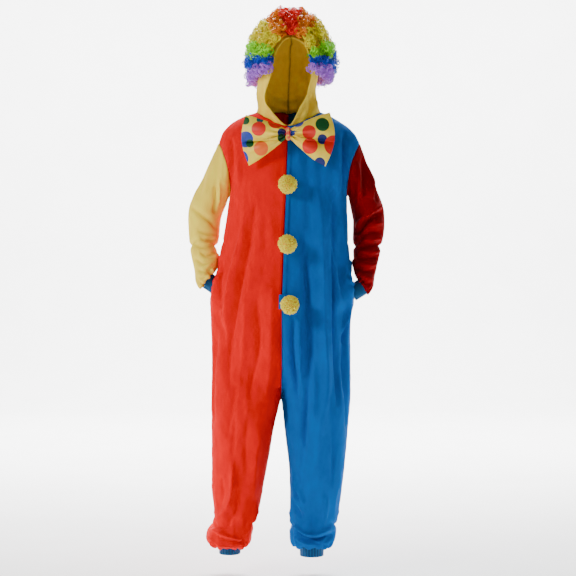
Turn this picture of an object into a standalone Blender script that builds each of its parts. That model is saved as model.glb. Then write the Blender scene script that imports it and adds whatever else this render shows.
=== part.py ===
"""Clown jumpsuit with a curly hood, filled out as if worn, every cut piece a solid of its own.

Frame: metres, +Z up, +X to the wearer's left, the front faces -Y.
Origin: between the shoulders at the base of the neck, where the wearer carries the suit.
"""

from collections import namedtuple
from math import asin, atan2, cos, hypot, pi, radians, sin

import bmesh
import bpy
from mathutils import Matrix, Vector

# ---- cloth ----
FLEECE = 0.0025
RIB_KNIT = 0.0022
POCKETING = 0.0015
SATIN_PAIR = 0.003
SEAM_GAP = 0.0004
CLEARANCE = 0.0006

# ---- how finely the panels are cut into flat pieces ----
ACROSS = 9  # from the centre line or inseam to the side seam
SHOULDER_ROWS = 7  # from the shoulder seam down to the underarm
FRONT_NECK_ROWS = 4  # of those, the rows that end on the neckline
BACK_NECK_ROWS = 3
ARM_ROWS = 5  # from the armhole to the elbow

RED, BLUE = "fleece_red", "fleece_blue"
YELLOW, DARK_RED = "fleece_yellow", "fleece_dark_red"

# ---- the body, level by level ----
# z: height. right_out and left_out: side seams. right_in and left_in: centre line, then the inseams.
# front and back: how far the cloth stands off the side seams. legs: 0 for one trunk, 1 for two legs.
BodyRow = namedtuple("BodyRow", "z right_out right_in left_in left_out front back legs")
BODY = [
    BodyRow(-0.270, -0.1780, +0.0040, +0.0040, 0.2030, -0.128, 0.118, 0.00),
    BodyRow(-0.330, -0.1880, +0.0010, +0.0010, 0.2050, -0.136, 0.116, 0.00),
    BodyRow(-0.390, -0.1980, -0.0010, -0.0010, 0.2070, -0.141, 0.112, 0.00),
    BodyRow(-0.450, -0.2095, -0.0040, -0.0040, 0.2115, -0.144, 0.112, 0.00),
    BodyRow(-0.495, -0.2165, -0.0050, -0.0050, 0.2155, -0.146, 0.116, 0.00),
    BodyRow(-0.532, -0.2270, -0.0060, -0.0060, 0.2205, -0.148, 0.121, 0.00),
    BodyRow(-0.570, -0.2360, -0.0080, -0.0080, 0.2255, -0.149, 0.127, 0.00),
    BodyRow(-0.608, -0.2395, -0.0090, -0.0090, 0.2250, -0.150, 0.134, 0.00),
    BodyRow(-0.645, -0.2400, -0.0100, -0.0100, 0.2145, -0.150, 0.140, 0.00),
    BodyRow(-0.700, -0.2390, -0.0095, -0.0095, 0.2140, -0.150, 0.146, 0.02),
    BodyRow(-0.760, -0.2390, -0.0095, -0.0095, 0.2155, -0.149, 0.148, 0.07),
    BodyRow(-0.820, -0.2395, -0.0100, -0.0100, 0.2150, -0.147, 0.146, 0.20),
    BodyRow(-0.875, -0.2400, -0.0110, -0.0110, 0.2145, -0.144, 0.142, 0.48),
    BodyRow(-0.925, -0.2410, -0.0115, -0.0115, 0.2125, -0.140, 0.136, 1.00),
    BodyRow(-0.980, -0.2395, -0.0250, -0.0090, 0.2095, -0.134, 0.130, 1.00),
    BodyRow(-1.040, -0.2390, -0.0375, -0.0020, 0.2060, -0.128, 0.124, 1.00),
    BodyRow(-1.100, -0.2390, -0.0480, +0.0090, 0.2015, -0.122, 0.119, 1.00),
    BodyRow(-1.160, -0.2390, -0.0575, +0.0135, 0.1940, -0.116, 0.114, 1.00),
    BodyRow(-1.220, -0.2385, -0.0690, +0.0160, 0.1865, -0.109, 0.110, 1.00),
    BodyRow(-1.270, -0.2340, -0.0795, +0.0155, 0.1775, -0.102, 0.106, 1.00),
    BodyRow(-1.310, -0.2265, -0.0880, +0.0140, 0.1720, -0.097, 0.102, 1.00),
    BodyRow(-1.335, -0.2460, -0.0940, +0.0125, 0.1705, -0.101, 0.106, 1.00),
    BodyRow(-1.360, -0.2580, -0.1060, +0.0125, 0.1690, -0.105, 0.110, 1.00),
    BodyRow(-1.385, -0.2560, -0.1080, +0.0145, 0.1625, -0.103, 0.108, 1.00),
    BodyRow(-1.403, -0.2380, -0.1200, +0.0240, 0.1500, -0.085, 0.088, 1.00),
    BodyRow(-1.394, -0.2180, -0.1400, +0.0440, 0.1300, -0.048, 0.052, 1.00),
]
ROUNDNESS = 0.85  # power of the sine and cosine in a section: 1 is an ellipse, less is boxier

# ---- shoulders, neckline and armholes ----
NECK_FRONT = Vector((0.010, -0.098, -0.058))
NECK_BACK = Vector((0.012, 0.070, 0.014))
NECK_SIDE = {"right": Vector((-0.094, 0.0, 0.003)), "left": Vector((0.118, 0.0, 0.004))}
SHOULDER_TIP = {"right": Vector((-0.219, 0.0, -0.0845)), "left": Vector((0.247, 0.0, -0.0845))}
SHOULDER_CURVE = {"right": 1.8, "left": 1.4}  # power of the rounded slope from neck to tip
ARMHOLE_DEPTH = {"front": -0.066, "back": 0.070}
ARMHOLE_SCOOP = 2.6  # how early the armhole seam turns in below the tip

# ---- the largest folds of the body ----
# across: place from centre line (0) to side seam (1) at the fold's top and foot. width: half its width.
Fold = namedtuple("Fold", "side face top_z top_across foot_z foot_across width depth")
FOLDS = [
    Fold("right", "front", -0.33, 0.52, -0.80, 0.74, 0.050, 0.016),
    Fold("right", "front", -0.62, 0.30, -1.02, 0.44, 0.045, 0.012),
    Fold("left", "front", -0.40, 0.34, -0.82, 0.28, 0.048, 0.016),
    Fold("left", "front", -0.30, 0.72, -0.98, 0.66, 0.050, 0.018),
    Fold("right", "back", -0.30, 0.45, -0.78, 0.55, 0.050, 0.014),
    Fold("left", "back", -0.34, 0.50, -0.84, 0.42, 0.050, 0.014),
    Fold("right", "back", -0.84, 0.60, -1.20, 0.45, 0.045, 0.012),
    Fold("left", "back", -0.90, 0.40, -1.24, 0.55, 0.045, 0.012),
]
PANEL_WIDTH = 0.33  # cloth from the centre line to the side seam, at the hips

# ---- pocket mouths in the side seams ----
POCKET_TOP, POCKET_FOOT = -0.495, -0.645
POCKET_OPENS = {"front": -0.040, "back": 0.036}
POCKET_PULL = 0.55  # the place across the panel from which the open mouth pulls the cloth
# x: distance in from the side seam. top, foot: heights. y and depth: middle and half thickness.
PouchRow = namedtuple("PouchRow", "inward top foot y depth")
POUCH = [
    PouchRow(0.030, -0.498, -0.680, -0.004, 0.036),
    PouchRow(0.070, -0.530, -0.745, -0.022, 0.030),
    PouchRow(0.110, -0.590, -0.775, -0.034, 0.022),
    PouchRow(0.140, -0.650, -0.770, -0.040, 0.010),
]

# ---- sleeves, ring by ring ----
# outer, inner: the ends of the ring's long axis, seen from the front. y and depth: middle and half depth.
SleeveRow = namedtuple("SleeveRow", "outer_x outer_z inner_x inner_z y depth")
SLEEVES = {
    "right": [
        SleeveRow(-0.3180, -0.300, -0.2030, -0.322, 0.030, 0.062),
        SleeveRow(-0.3205, -0.345, -0.2100, -0.355, 0.034, 0.062),
        SleeveRow(-0.3185, -0.395, -0.2120, -0.398, 0.030, 0.059),
        SleeveRow(-0.3135, -0.440, -0.2215, -0.436, 0.022, 0.055),
        SleeveRow(-0.3020, -0.488, -0.2195, -0.468, 0.012, 0.050),
        SleeveRow(-0.2880, -0.538, -0.2200, -0.491, 0.002, 0.046),
        SleeveRow(-0.2740, -0.577, -0.2240, -0.508, -0.004, 0.041),
    ],
    "left": [
        SleeveRow(0.3240, -0.300, 0.2140, -0.318, 0.030, 0.062),
        SleeveRow(0.3285, -0.345, 0.2215, -0.352, 0.034, 0.062),
        SleeveRow(0.3225, -0.400, 0.2180, -0.402, 0.030, 0.059),
        SleeveRow(0.3130, -0.448, 0.2185, -0.442, 0.022, 0.055),
        SleeveRow(0.3030, -0.496, 0.2205, -0.480, 0.012, 0.050),
        SleeveRow(0.2890, -0.548, 0.2245, -0.512, 0.002, 0.046),
        SleeveRow(0.2680, -0.594, 0.2290, -0.532, -0.004, 0.041),
    ],
}
WRIST_HALF_WIDTH, WRIST_HALF_DEPTH = 0.0285, 0.027
CUFF_TUCK = 0.008  # how far the cuff's seam sits up inside the end of the sleeve
WRIST_CUFF_STEPS = (0.022, 0.046)  # rings of the cuff, measured along it from its seam

ANKLE_CUFF_FOOT = {"right": -1.426, "left": -1.433}
ANKLE_CUFF_TAPER = 0.97

# ---- hood ----
# edge: the face opening. side_x: widest place. back: the seam behind the head. rise: height of the arch.
HoodRow = namedtuple("HoodRow", "edge_x edge_y edge_z side_x middle_x back_y back_z rise")
HOOD = {
    "right": [
        HoodRow(-0.0180, -0.101, -0.030, -0.0930, 0.010, 0.068, 0.040, 0.000),
        HoodRow(-0.0455, -0.099, 0.003, -0.0915, 0.011, 0.068, 0.066, 0.000),
        HoodRow(-0.0670, -0.090, 0.032, -0.0890, 0.012, 0.074, 0.092, 0.000),
        HoodRow(-0.0580, -0.090, 0.068, -0.0895, 0.014, 0.084, 0.118, 0.000),
        HoodRow(-0.0430, -0.092, 0.105, -0.0900, 0.016, 0.096, 0.144, 0.000),
        HoodRow(-0.0350, -0.095, 0.150, -0.0860, 0.018, 0.103, 0.173, 0.004),
        HoodRow(-0.0280, -0.096, 0.190, -0.0760, 0.018, 0.104, 0.200, 0.016),
        HoodRow(-0.0080, -0.096, 0.218, -0.0500, 0.018, 0.096, 0.224, 0.034),
        HoodRow(0.0180, -0.093, 0.234, 0.0180, 0.018, 0.080, 0.244, 0.050),
    ],
    "left": [
        HoodRow(0.0300, -0.101, -0.030, 0.1145, 0.010, 0.068, 0.040, 0.000),
        HoodRow(0.0430, -0.099, 0.003, 0.1085, 0.011, 0.068, 0.066, 0.000),
        HoodRow(0.0600, -0.094, 0.032, 0.1040, 0.012, 0.074, 0.092, 0.000),
        HoodRow(0.0780, -0.090, 0.068, 0.1065, 0.014, 0.084, 0.118, 0.000),
        HoodRow(0.0870, -0.088, 0.105, 0.1110, 0.016, 0.096, 0.144, 0.000),
        HoodRow(0.0860, -0.090, 0.150, 0.1120, 0.018, 0.103, 0.173, 0.004),
        HoodRow(0.0760, -0.094, 0.190, 0.1040, 0.018, 0.104, 0.200, 0.016),
        HoodRow(0.0520, -0.096, 0.218, 0.0830, 0.018, 0.096, 0.224, 0.034),
        HoodRow(0.0180, -0.093, 0.234, 0.0180, 0.018, 0.080, 0.244, 0.050),
    ],
}

# ---- rows of curls sewn round the hood: plain solids of their reach ----
CURL_CENTRE = Vector((0.018, 0.005, 0.150))
CURL_ROOT = Vector((0.119, 0.132, 0.162))
CURL_TIP = Vector((0.148, 0.160, 0.190))
# from_top, to_top: the row's reach, in degrees from the crown. face: where it ends beside the face.
CurlRow = namedtuple("CurlRow", "name from_top to_top face")
CURL_ROWS = [
    CurlRow("curls_red", 0, 14, 59),
    CurlRow("curls_orange", 14, 34, 60),
    CurlRow("curls_yellow", 34, 65, 60),
    CurlRow("curls_green", 65, 80, 60),
    CurlRow("curls_blue", 80, 93, 61),
    CurlRow("curls_purple", 93, 105, 62),
]
CURL_ROW_GAP = 0.3  # degrees between two rows
CURL_TUCK = 88  # from here down the curls lie closer to the hood

# ---- placket, pompoms and bow ----
PLACKET_WIDTH, PLACKET_THICKNESS = 0.012, 0.0015
PLACKET_TOP, PLACKET_FOOT = -0.066, -0.583
TAB_LEFT, TAB_RIGHT, TAB_TOP, TAB_FOOT = -0.010, 0.022, -0.586, -0.632  # from the centre line
POMPOM_RADIUS, POMPOM_FLAT = 0.0300, 0.022  # its back is flat, this far from its middle
Pompom = namedtuple("Pompom", "name z beside")  # beside: to the left of the centre line
POMPOMS = [
    Pompom("pompom_top", -0.240, 0.004),
    Pompom("pompom_middle", -0.428, 0.011),
    Pompom("pompom_bottom", -0.618, 0.025),
]
# x: of the top edge. lean: how far the foot lies beyond it. bulge: how far the middle does. y, puff: depth.
WingRow = namedtuple("WingRow", "x top foot lean bulge y puff")
BOW_WINGS = {
    "right": [
        WingRow(+0.0020, -0.066, -0.096, 0.000, +0.000, -0.150, 0.004),
        WingRow(-0.0310, -0.051, -0.122, 0.002, -0.001, -0.160, 0.012),
        WingRow(-0.0640, -0.039, -0.146, 0.004, -0.005, -0.158, 0.014),
        WingRow(-0.0950, -0.028, -0.166, 0.007, -0.011, -0.150, 0.011),
        WingRow(-0.1230, -0.020, -0.179, 0.010, -0.019, -0.136, 0.004),
    ],
    "left": [
        WingRow(+0.0180, -0.066, -0.096, +0.000, 0.000, -0.150, 0.004),
        WingRow(+0.0490, -0.049, -0.124, -0.002, 0.002, -0.160, 0.012),
        WingRow(+0.0810, -0.034, -0.150, -0.005, 0.007, -0.158, 0.014),
        WingRow(+0.1120, -0.021, -0.170, -0.010, 0.014, -0.150, 0.011),
        WingRow(+0.1415, -0.012, -0.181, -0.014, 0.023, -0.134, 0.004),
    ],
}
WING_DOWN = 6  # flat pieces from the wing's top edge to its foot
KNOT = {"x": 0.010, "y": -0.151, "z": -0.081, "half_width": 0.0072, "half_height": 0.021, "half_depth": 0.013}

COLOURS = {
    RED: ((0.76, 0.045, 0.035), 0.9),
    BLUE: ((0.010, 0.155, 0.40), 0.9),
    YELLOW: ((0.93, 0.60, 0.11), 0.9),
    DARK_RED: ((0.36, 0.012, 0.018), 0.9),
    "rib_blue": ((0.012, 0.13, 0.32), 0.85),
    "pompom_yarn": ((0.92, 0.68, 0.09), 0.95),
    "bow_satin": ((0.90, 0.66, 0.10), 0.45),
    "curls_red": ((0.86, 0.05, 0.02), 0.6),
    "curls_orange": ((0.93, 0.25, 0.04), 0.6),
    "curls_yellow": ((0.92, 0.66, 0.08), 0.6),
    "curls_green": ((0.27, 0.62, 0.08), 0.6),
    "curls_blue": ((0.03, 0.10, 0.50), 0.6),
    "curls_purple": ((0.42, 0.22, 0.66), 0.6),
}


# ---- small helpers ----
def quarter(a, b, turn):
    """Point of the quarter ellipse from a to b, which leaves a along Y and reaches b along X."""
    way = b - a
    return a + Vector((way.x * (1 - cos(turn)), way.y * sin(turn), way.z * (1 - cos(turn))))


def powered(value, power):
    return max(0.0, value) ** power


def between(rows, z, column):
    """Value of a column of a table at height z, in straight runs between its rows."""
    for upper, lower in zip(rows, rows[1:]):
        if z >= lower.z:
            share = (upper.z - z) / (upper.z - lower.z)
            return getattr(upper, column) * (1 - share) + getattr(lower, column) * share
    return getattr(rows[-1], column)


# ---- body ----
def pocket_opening(z):
    """0 above and below the pocket mouth, 1 at its middle."""
    middle, half = (POCKET_TOP + POCKET_FOOT) / 2, (POCKET_TOP - POCKET_FOOT) / 2
    return max(0.0, 1 - ((z - middle) / half) ** 2)


def fold_depth(side, face, z, across):
    """How far the largest folds push the cloth in at a place on a panel."""
    depth = 0.0
    for fold in FOLDS:
        if (fold.side, fold.face) != (side, face) or not fold.foot_z < z < fold.top_z:
            continue
        down = (fold.top_z - z) / (fold.top_z - fold.foot_z)
        middle = fold.top_across + (fold.foot_across - fold.top_across) * down
        away = (across - middle) * PANEL_WIDTH / fold.width
        depth += fold.depth * sin(pi * down) ** 0.6 * max(0.0, 1 - away * away)
    return depth


def body_point(row, side, face, across):
    """Point of a level of the body: across is 0 at the centre line or inseam and 1 at the side seam."""
    out, inner = (row.right_out, row.right_in) if side == "right" else (row.left_out, row.left_in)
    depth = row.front if face == "front" else row.back
    turn = across * pi / 2
    trunk_x = inner + (out - inner) * powered(sin(turn), ROUNDNESS)
    trunk = Vector((trunk_x, depth * powered(cos(turn), ROUNDNESS), row.z))
    leg_x = inner + (out - inner) / 2 * (1 - cos(2 * turn))
    leg = Vector((leg_x, depth * powered(sin(2 * turn), ROUNDNESS), row.z))
    point = trunk.lerp(leg, row.legs)
    folded = fold_depth(side, face, row.z, across)
    point.x -= folded * sin(turn) * (1 if out > inner else -1)
    point.y -= folded * cos(turn) * (1 if depth > 0 else -1)
    pulled = max(0.0, (across - POCKET_PULL) / (1 - POCKET_PULL))
    point.y += POCKET_OPENS[face] * pocket_opening(row.z) * pulled
    return point


def shoulder_seam(side, across):
    neck, tip = NECK_SIDE[side], SHOULDER_TIP[side]
    power = SHOULDER_CURVE[side]
    slope = 1 - powered(1 - across**power, 1 / power)
    return Vector((neck.x + (tip.x - neck.x) * across, 0.0, neck.z + (tip.z - neck.z) * slope))


def armhole(side, face, down):
    """Point of the armhole seam: down is 0 at the shoulder tip and 1 at the underarm."""
    tip, under = SHOULDER_TIP[side], body_point(BODY[0], side, face, 1)
    inward = 1 - (1 - down) ** ARMHOLE_SCOOP
    return Vector((
        tip.x + (under.x - tip.x) * inward,
        ARMHOLE_DEPTH[face] * powered(sin(pi * down), 0.8),
        tip.z + (under.z - tip.z) * down,
    ))


def neck_and_centre(side, face, row):
    """Inner edge of a panel above the underarm: along the neckline, then down the centre line."""
    neck_rows, centre = (FRONT_NECK_ROWS, NECK_FRONT) if face == "front" else (BACK_NECK_ROWS, NECK_BACK)
    if row <= neck_rows:
        return quarter(NECK_SIDE[side], centre, row / neck_rows * pi / 2)
    chest = body_point(BODY[0], side, face, 0)
    down = (row - neck_rows) / (SHOULDER_ROWS - neck_rows)
    return Vector((
        centre.x + (chest.x - centre.x) * down,
        centre.y + (chest.y - centre.y) * sin(down * pi / 2),
        centre.z + (chest.z - centre.z) * down,
    ))


def shoulder_point(side, face, row, across):
    """Point of a panel above the underarm: a patch stretched between its four edges."""
    down = row / SHOULDER_ROWS
    top, foot = shoulder_seam(side, across), body_point(BODY[0], side, face, across)
    inner, outer = neck_and_centre(side, face, row), armhole(side, face, down)
    corners = (
        shoulder_seam(side, 0).lerp(shoulder_seam(side, 1), across)
        .lerp(body_point(BODY[0], side, face, 0).lerp(body_point(BODY[0], side, face, 1), across), down)
    )
    return top.lerp(foot, down) + inner.lerp(outer, across) - corners


def body_panel(side, face):
    steps = [i / ACROSS for i in range(ACROSS + 1)]
    shoulder = [[shoulder_point(side, face, row, across) for across in steps] for row in range(SHOULDER_ROWS)]
    return shoulder + [[body_point(row, side, face, across) for across in steps] for row in BODY]


def ankle_cuff(side):
    """Rings of an ankle cuff, from its seam in the leg's gathered end down to its open foot."""
    seam = BODY[-1]
    steps = [i / ACROSS for i in range(ACROSS + 1)]
    ring = [body_point(seam, side, "front", across) for across in steps]
    ring += [body_point(seam, side, "back", across) for across in steps[-2:0:-1]]
    middle = sum(ring, Vector()) / len(ring)
    foot_z = ANKLE_CUFF_FOOT[side]
    rings = []
    for share in (0, 0.5, 1):
        taper = 1 + (ANKLE_CUFF_TAPER - 1) * share
        lowered = [middle + (p - middle) * taper for p in ring]
        for p in lowered:
            p.z = seam.z + (foot_z - seam.z) * share
        rings.append(lowered + lowered[:1])
    return rings


# ---- sleeves and wrist cuffs ----
def sleeve_ring(outer, inner, y, depth):
    """Ring from the outer side over the front, the inner side and the back to the outer side again."""
    middle, half = (outer + inner) / 2, (outer - inner) / 2
    return [
        middle + half * cos(pi * i / SHOULDER_ROWS) + Vector((0, y - depth * sin(pi * i / SHOULDER_ROWS), 0))
        for i in range(2 * SHOULDER_ROWS + 1)
    ]


def table_ring(row):
    outer, inner = Vector((row.outer_x, 0, row.outer_z)), Vector((row.inner_x, 0, row.inner_z))
    return sleeve_ring(outer, inner, row.y, row.depth)


def wrist(side):
    """Middle of the sleeve's end, the way the cuff leaves it, and the direction across it."""
    row = SLEEVES[side][-1]
    outer, inner = Vector((row.outer_x, row.y, row.outer_z)), Vector((row.inner_x, row.y, row.inner_z))
    across = (outer - inner).normalized()
    along = Vector((-across.z, 0, across.x))
    if along.z > 0:
        along = -along
    return (outer + inner) / 2, along, across


def cuff_ring(side, along_by):
    middle, along, across = wrist(side)
    middle = middle + along * (along_by - CUFF_TUCK)
    flat = Vector((middle.x, 0, middle.z))
    reach = across * WRIST_HALF_WIDTH
    return sleeve_ring(flat + reach, flat - reach, middle.y, WRIST_HALF_DEPTH)


def sleeve(side):
    down = [i / SHOULDER_ROWS for i in range(SHOULDER_ROWS + 1)]
    seam = [armhole(side, "front", d) for d in down] + [armhole(side, "back", d) for d in reversed(down[:-1])]
    elbow = table_ring(SLEEVES[side][0])
    rings = [[a.lerp(b, step / ARM_ROWS) for a, b in zip(seam, elbow)] for step in range(ARM_ROWS)]
    rings += [table_ring(row) for row in SLEEVES[side]]
    return rings + [cuff_ring(side, 0)]


def wrist_cuff(side):
    return [cuff_ring(side, step) for step in (0, *WRIST_CUFF_STEPS)]


# ---- hood ----
def hood_row(row, steps):
    """Level of one half of the hood, from the face opening round the side to the seam behind."""
    half = abs(row.middle_x - row.side_x)
    begin = asin(min(1.0, abs(row.middle_x - row.edge_x) / half)) if half > 1e-6 else 0.0
    way = 1 if row.side_x > row.middle_x else -1
    depth = (row.back_y - row.edge_y) / (1 + cos(begin))
    points = []
    for i in range(steps + 1):
        turn = begin + (pi - begin) * i / steps
        z = row.edge_z + (row.back_z - row.edge_z) * sin(pi / 2 * i / steps) + row.rise * sin(pi * i / steps)
        x = row.middle_x + way * half * sin(turn)
        points.append(Vector((x, row.back_y - depth * (1 + cos(turn)), z)))
    return points


def hood_half(side):
    neckline = [neck_and_centre(side, "front", row) for row in range(FRONT_NECK_ROWS, -1, -1)]
    neckline += [neck_and_centre(side, "back", row) for row in range(1, BACK_NECK_ROWS + 1)]
    return [neckline] + [hood_row(row, len(neckline) - 1) for row in HOOD[side]]


# ---- cloth to solids ----
class Garment:
    """The cut pieces joined at their seams as one surface, so that neighbours share their seams."""

    def __init__(self):
        self.mesh = bmesh.new()
        self.names = []
        self.tag = self.mesh.faces.layers.int.new("piece")

    def add(self, name, grid):
        """Adds a cut piece as a grid of points; the ends of a closed ring are the same point twice."""
        self.names.append(name)
        rows = [[self.mesh.verts.new(p) for p in row] for row in grid]
        for upper, lower in zip(rows, rows[1:]):
            for a, b, c, d in zip(upper, upper[1:], lower[1:], lower):
                face = self.mesh.faces.new((a, b, c, d))
                face[self.tag] = len(self.names) - 1

    def sew(self):
        """Joins the pieces where their edges meet and turns every face outwards."""
        bmesh.ops.remove_doubles(self.mesh, verts=self.mesh.verts[:], dist=1e-5)
        bmesh.ops.dissolve_degenerate(self.mesh, edges=self.mesh.edges[:], dist=1e-5)
        bmesh.ops.recalc_face_normals(self.mesh, faces=self.mesh.faces[:])
        self.mesh.normal_update()
        front = min(self.mesh.faces, key=lambda face: face.calc_center_median().y)
        if front.normal.y > 0:
            bmesh.ops.reverse_faces(self.mesh, faces=self.mesh.faces[:])
        self.mesh.normal_update()
        self.mesh.verts.index_update()

    def solid(self, name, thickness):
        """Wall of one cut piece, drawn back from its seams, its inner side made along shared normals."""
        piece = self.names.index(name)
        faces = [face for face in self.mesh.faces if face[self.tag] == piece]
        wall = bmesh.new()
        outer, inner = {}, {}
        for vert in {v for face in faces for v in face.verts}:
            at = vert.co + self.draw_back(vert, piece)
            outer[vert] = wall.verts.new(at)
            inner[vert] = wall.verts.new(at - vert.normal * thickness)
        for face in faces:
            wall.faces.new([outer[v] for v in face.verts])
            wall.faces.new([inner[v] for v in reversed(face.verts)])
            for loop in face.loops:
                if self.is_rim(loop.edge, piece):
                    a, b = loop.vert, loop.link_loop_next.vert
                    # neighbours split the rim along the same diagonal, so that a twisted seam stays open
                    if a.index < b.index:
                        wall.faces.new((outer[b], outer[a], inner[b]))
                        wall.faces.new((outer[a], inner[a], inner[b]))
                    else:
                        wall.faces.new((outer[b], outer[a], inner[a]))
                        wall.faces.new((outer[b], inner[a], inner[b]))
        return wall

    def is_rim(self, edge, piece):
        return sum(face[self.tag] == piece for face in edge.link_faces) == 1

    def draw_back(self, vert, piece):
        """Half the seam's gap, square to each rim edge of the piece that meets at the point."""
        inward = []
        if len({face[self.tag] for face in vert.link_faces}) == 1:  # away from every seam
            return Vector()
        for edge in vert.link_edges:
            mine = [face for face in edge.link_faces if face[self.tag] == piece]
            if len(mine) == 1:
                along = (edge.other_vert(vert).co - vert.co).normalized()
                side = vert.normal.cross(along).normalized()
                to_face = mine[0].calc_center_median() - vert.co
                inward.append(side if side.dot(to_face) > 0 else -side)
        total = sum(inward, Vector())
        spread = 1 + inward[0].dot(inward[-1]) if len(inward) > 1 else 1
        return total * (SEAM_GAP / 2 / max(0.35, spread))


def finish_object(name, mesh, colour, smooth=True):
    data = bpy.data.meshes.new(name)
    mesh.to_mesh(data)
    mesh.free()
    if smooth:
        data.shade_smooth()
        data.set_sharp_from_angle(angle=radians(50))
    made = bpy.data.objects.new(name, data)
    bpy.context.scene.collection.objects.link(made)
    data.materials.append(material(colour))
    return made


def material(name):
    found = bpy.data.materials.get(name)
    if found:
        return found
    made = bpy.data.materials.new(name)
    made.use_nodes = True
    colour, roughness = COLOURS[name]
    shader = made.node_tree.nodes["Principled BSDF"]
    shader.inputs["Base Color"].default_value = (*colour, 1)
    shader.inputs["Roughness"].default_value = roughness
    shader.inputs["Metallic"].default_value = 0
    return made


def loft(rings, closed=True, capped=True):
    """Mesh through rings of points, closed round each ring and over both ends where asked."""
    mesh = bmesh.new()
    rows = [[mesh.verts.new(p) for p in ring] for ring in rings]
    count = len(rows[0])
    for upper, lower in zip(rows, rows[1:]):
        for i in range(count if closed else count - 1):
            j = (i + 1) % count
            mesh.faces.new((upper[i], upper[j], lower[j], lower[i]))
    if capped:
        mesh.faces.new(rows[0])
        mesh.faces.new(rows[-1])
    bmesh.ops.recalc_face_normals(mesh, faces=mesh.faces[:])
    return mesh


def thicken(made, thickness, offset):
    """Gives a surface its wall; offset 1 grows it outwards from the surface and -1 inwards."""
    wall = made.modifiers.new("wall", "SOLIDIFY")
    wall.thickness = thickness
    wall.offset = offset
    wall.use_even_offset = True
    return made


# ---- things that lie on the front ----
def front_point(x_from_line, z, off):
    """Point of the front, x_from_line to the left of the centre line, stood off the cloth."""
    line = between(BODY, z, "right_in")
    if z > BODY[0].z:
        share = (z - BODY[0].z) / (NECK_FRONT.z - BODY[0].z)
        line = BODY[0].right_in + (NECK_FRONT.x - BODY[0].right_in) * share
        chest = BODY[0].front
        y = NECK_FRONT.y + (chest - NECK_FRONT.y) * sin((1 - share) * pi / 2)
    else:
        y = between(BODY, z, "front")
    return Vector((line + x_from_line, y - off, z))


def placket():
    """Strip stitched down the left front's edge, from the neck to the tab."""
    rows = 12
    stand_off = CLEARANCE
    rings = []
    for i in range(rows + 1):
        z = PLACKET_TOP + (PLACKET_FOOT - PLACKET_TOP) * i / rows
        near, far = 0.0004, PLACKET_WIDTH
        rings.append([
            front_point(near, z, stand_off),
            front_point(far, z, stand_off),
            front_point(far, z, stand_off + PLACKET_THICKNESS),
            front_point(near, z, stand_off + PLACKET_THICKNESS),
        ])
    return finish_object("placket", loft(rings), BLUE)


def placket_tab():
    """Patch that ends the placket, stitched across both fronts."""
    rings = []
    for z in (TAB_TOP, (TAB_TOP + TAB_FOOT) / 2, TAB_FOOT):
        rings.append([
            front_point(TAB_LEFT, z, CLEARANCE),
            front_point(TAB_RIGHT, z, CLEARANCE),
            front_point(TAB_RIGHT, z, CLEARANCE + PLACKET_THICKNESS),
            front_point(TAB_LEFT, z, CLEARANCE + PLACKET_THICKNESS),
        ])
    return finish_object("placket_tab", loft(rings), BLUE)


def pompom(row):
    """Ball of cut yarn with the flat back that it is sewn on by."""
    mesh = bmesh.new()
    bmesh.ops.create_uvsphere(mesh, u_segments=14, v_segments=9, radius=POMPOM_RADIUS)
    whole = mesh.verts[:] + mesh.edges[:] + mesh.faces[:]
    cut = bmesh.ops.bisect_plane(
        mesh, geom=whole, plane_co=(0, POMPOM_FLAT, 0), plane_no=(0, 1, 0), clear_outer=True
    )
    rim = [edge for edge in cut["geom_cut"] if isinstance(edge, bmesh.types.BMEdge)]
    bmesh.ops.contextual_create(mesh, geom=rim)
    bmesh.ops.recalc_face_normals(mesh, faces=mesh.faces[:])
    made = finish_object(row.name, mesh, "pompom_yarn")
    foremost = min((front_point(row.beside, row.z + step, 0) for step in (-0.02, 0, 0.02)), key=lambda p: p.y)
    made.location = front_point(row.beside, row.z, 0)
    made.location.y = foremost.y - POMPOM_FLAT - 2 * CLEARANCE - PLACKET_THICKNESS
    return made


def bow_wing(side):
    """Half of the bow: doubled satin, gathered at the knot and puffed above and below a middle crease."""
    rings = []
    for row in BOW_WINGS[side]:
        ring = []
        for i in range(WING_DOWN + 1):
            down = i / WING_DOWN
            forward = row.puff * (2 * abs(sin(2 * pi * down)) - 1)
            x = row.x + row.lean * down + row.bulge * sin(pi * down)
            ring.append(Vector((x, row.y - forward, row.top + (row.foot - row.top) * down)))
        rings.append(ring)
    made = finish_object(f"bow_wing_{side}", loft(rings, closed=False, capped=False), "bow_satin")
    return thicken(made, SATIN_PAIR, 0)


def bow_knot():
    """Band that wraps the bow's gathers, open above and below."""
    rings = []
    for share in (-1, -0.5, 0, 0.5, 1):
        swell = 1 - 0.15 * share * share
        ring = []
        for i in range(12):
            turn = 2 * pi * i / 12
            ring.append(Vector((
                KNOT["x"] + KNOT["half_width"] * swell * cos(turn),
                KNOT["y"] + KNOT["half_depth"] * swell * sin(turn),
                KNOT["z"] + KNOT["half_height"] * share,
            )))
        rings.append(ring)
    return finish_object("bow_knot", loft(rings), "bow_satin")


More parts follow.
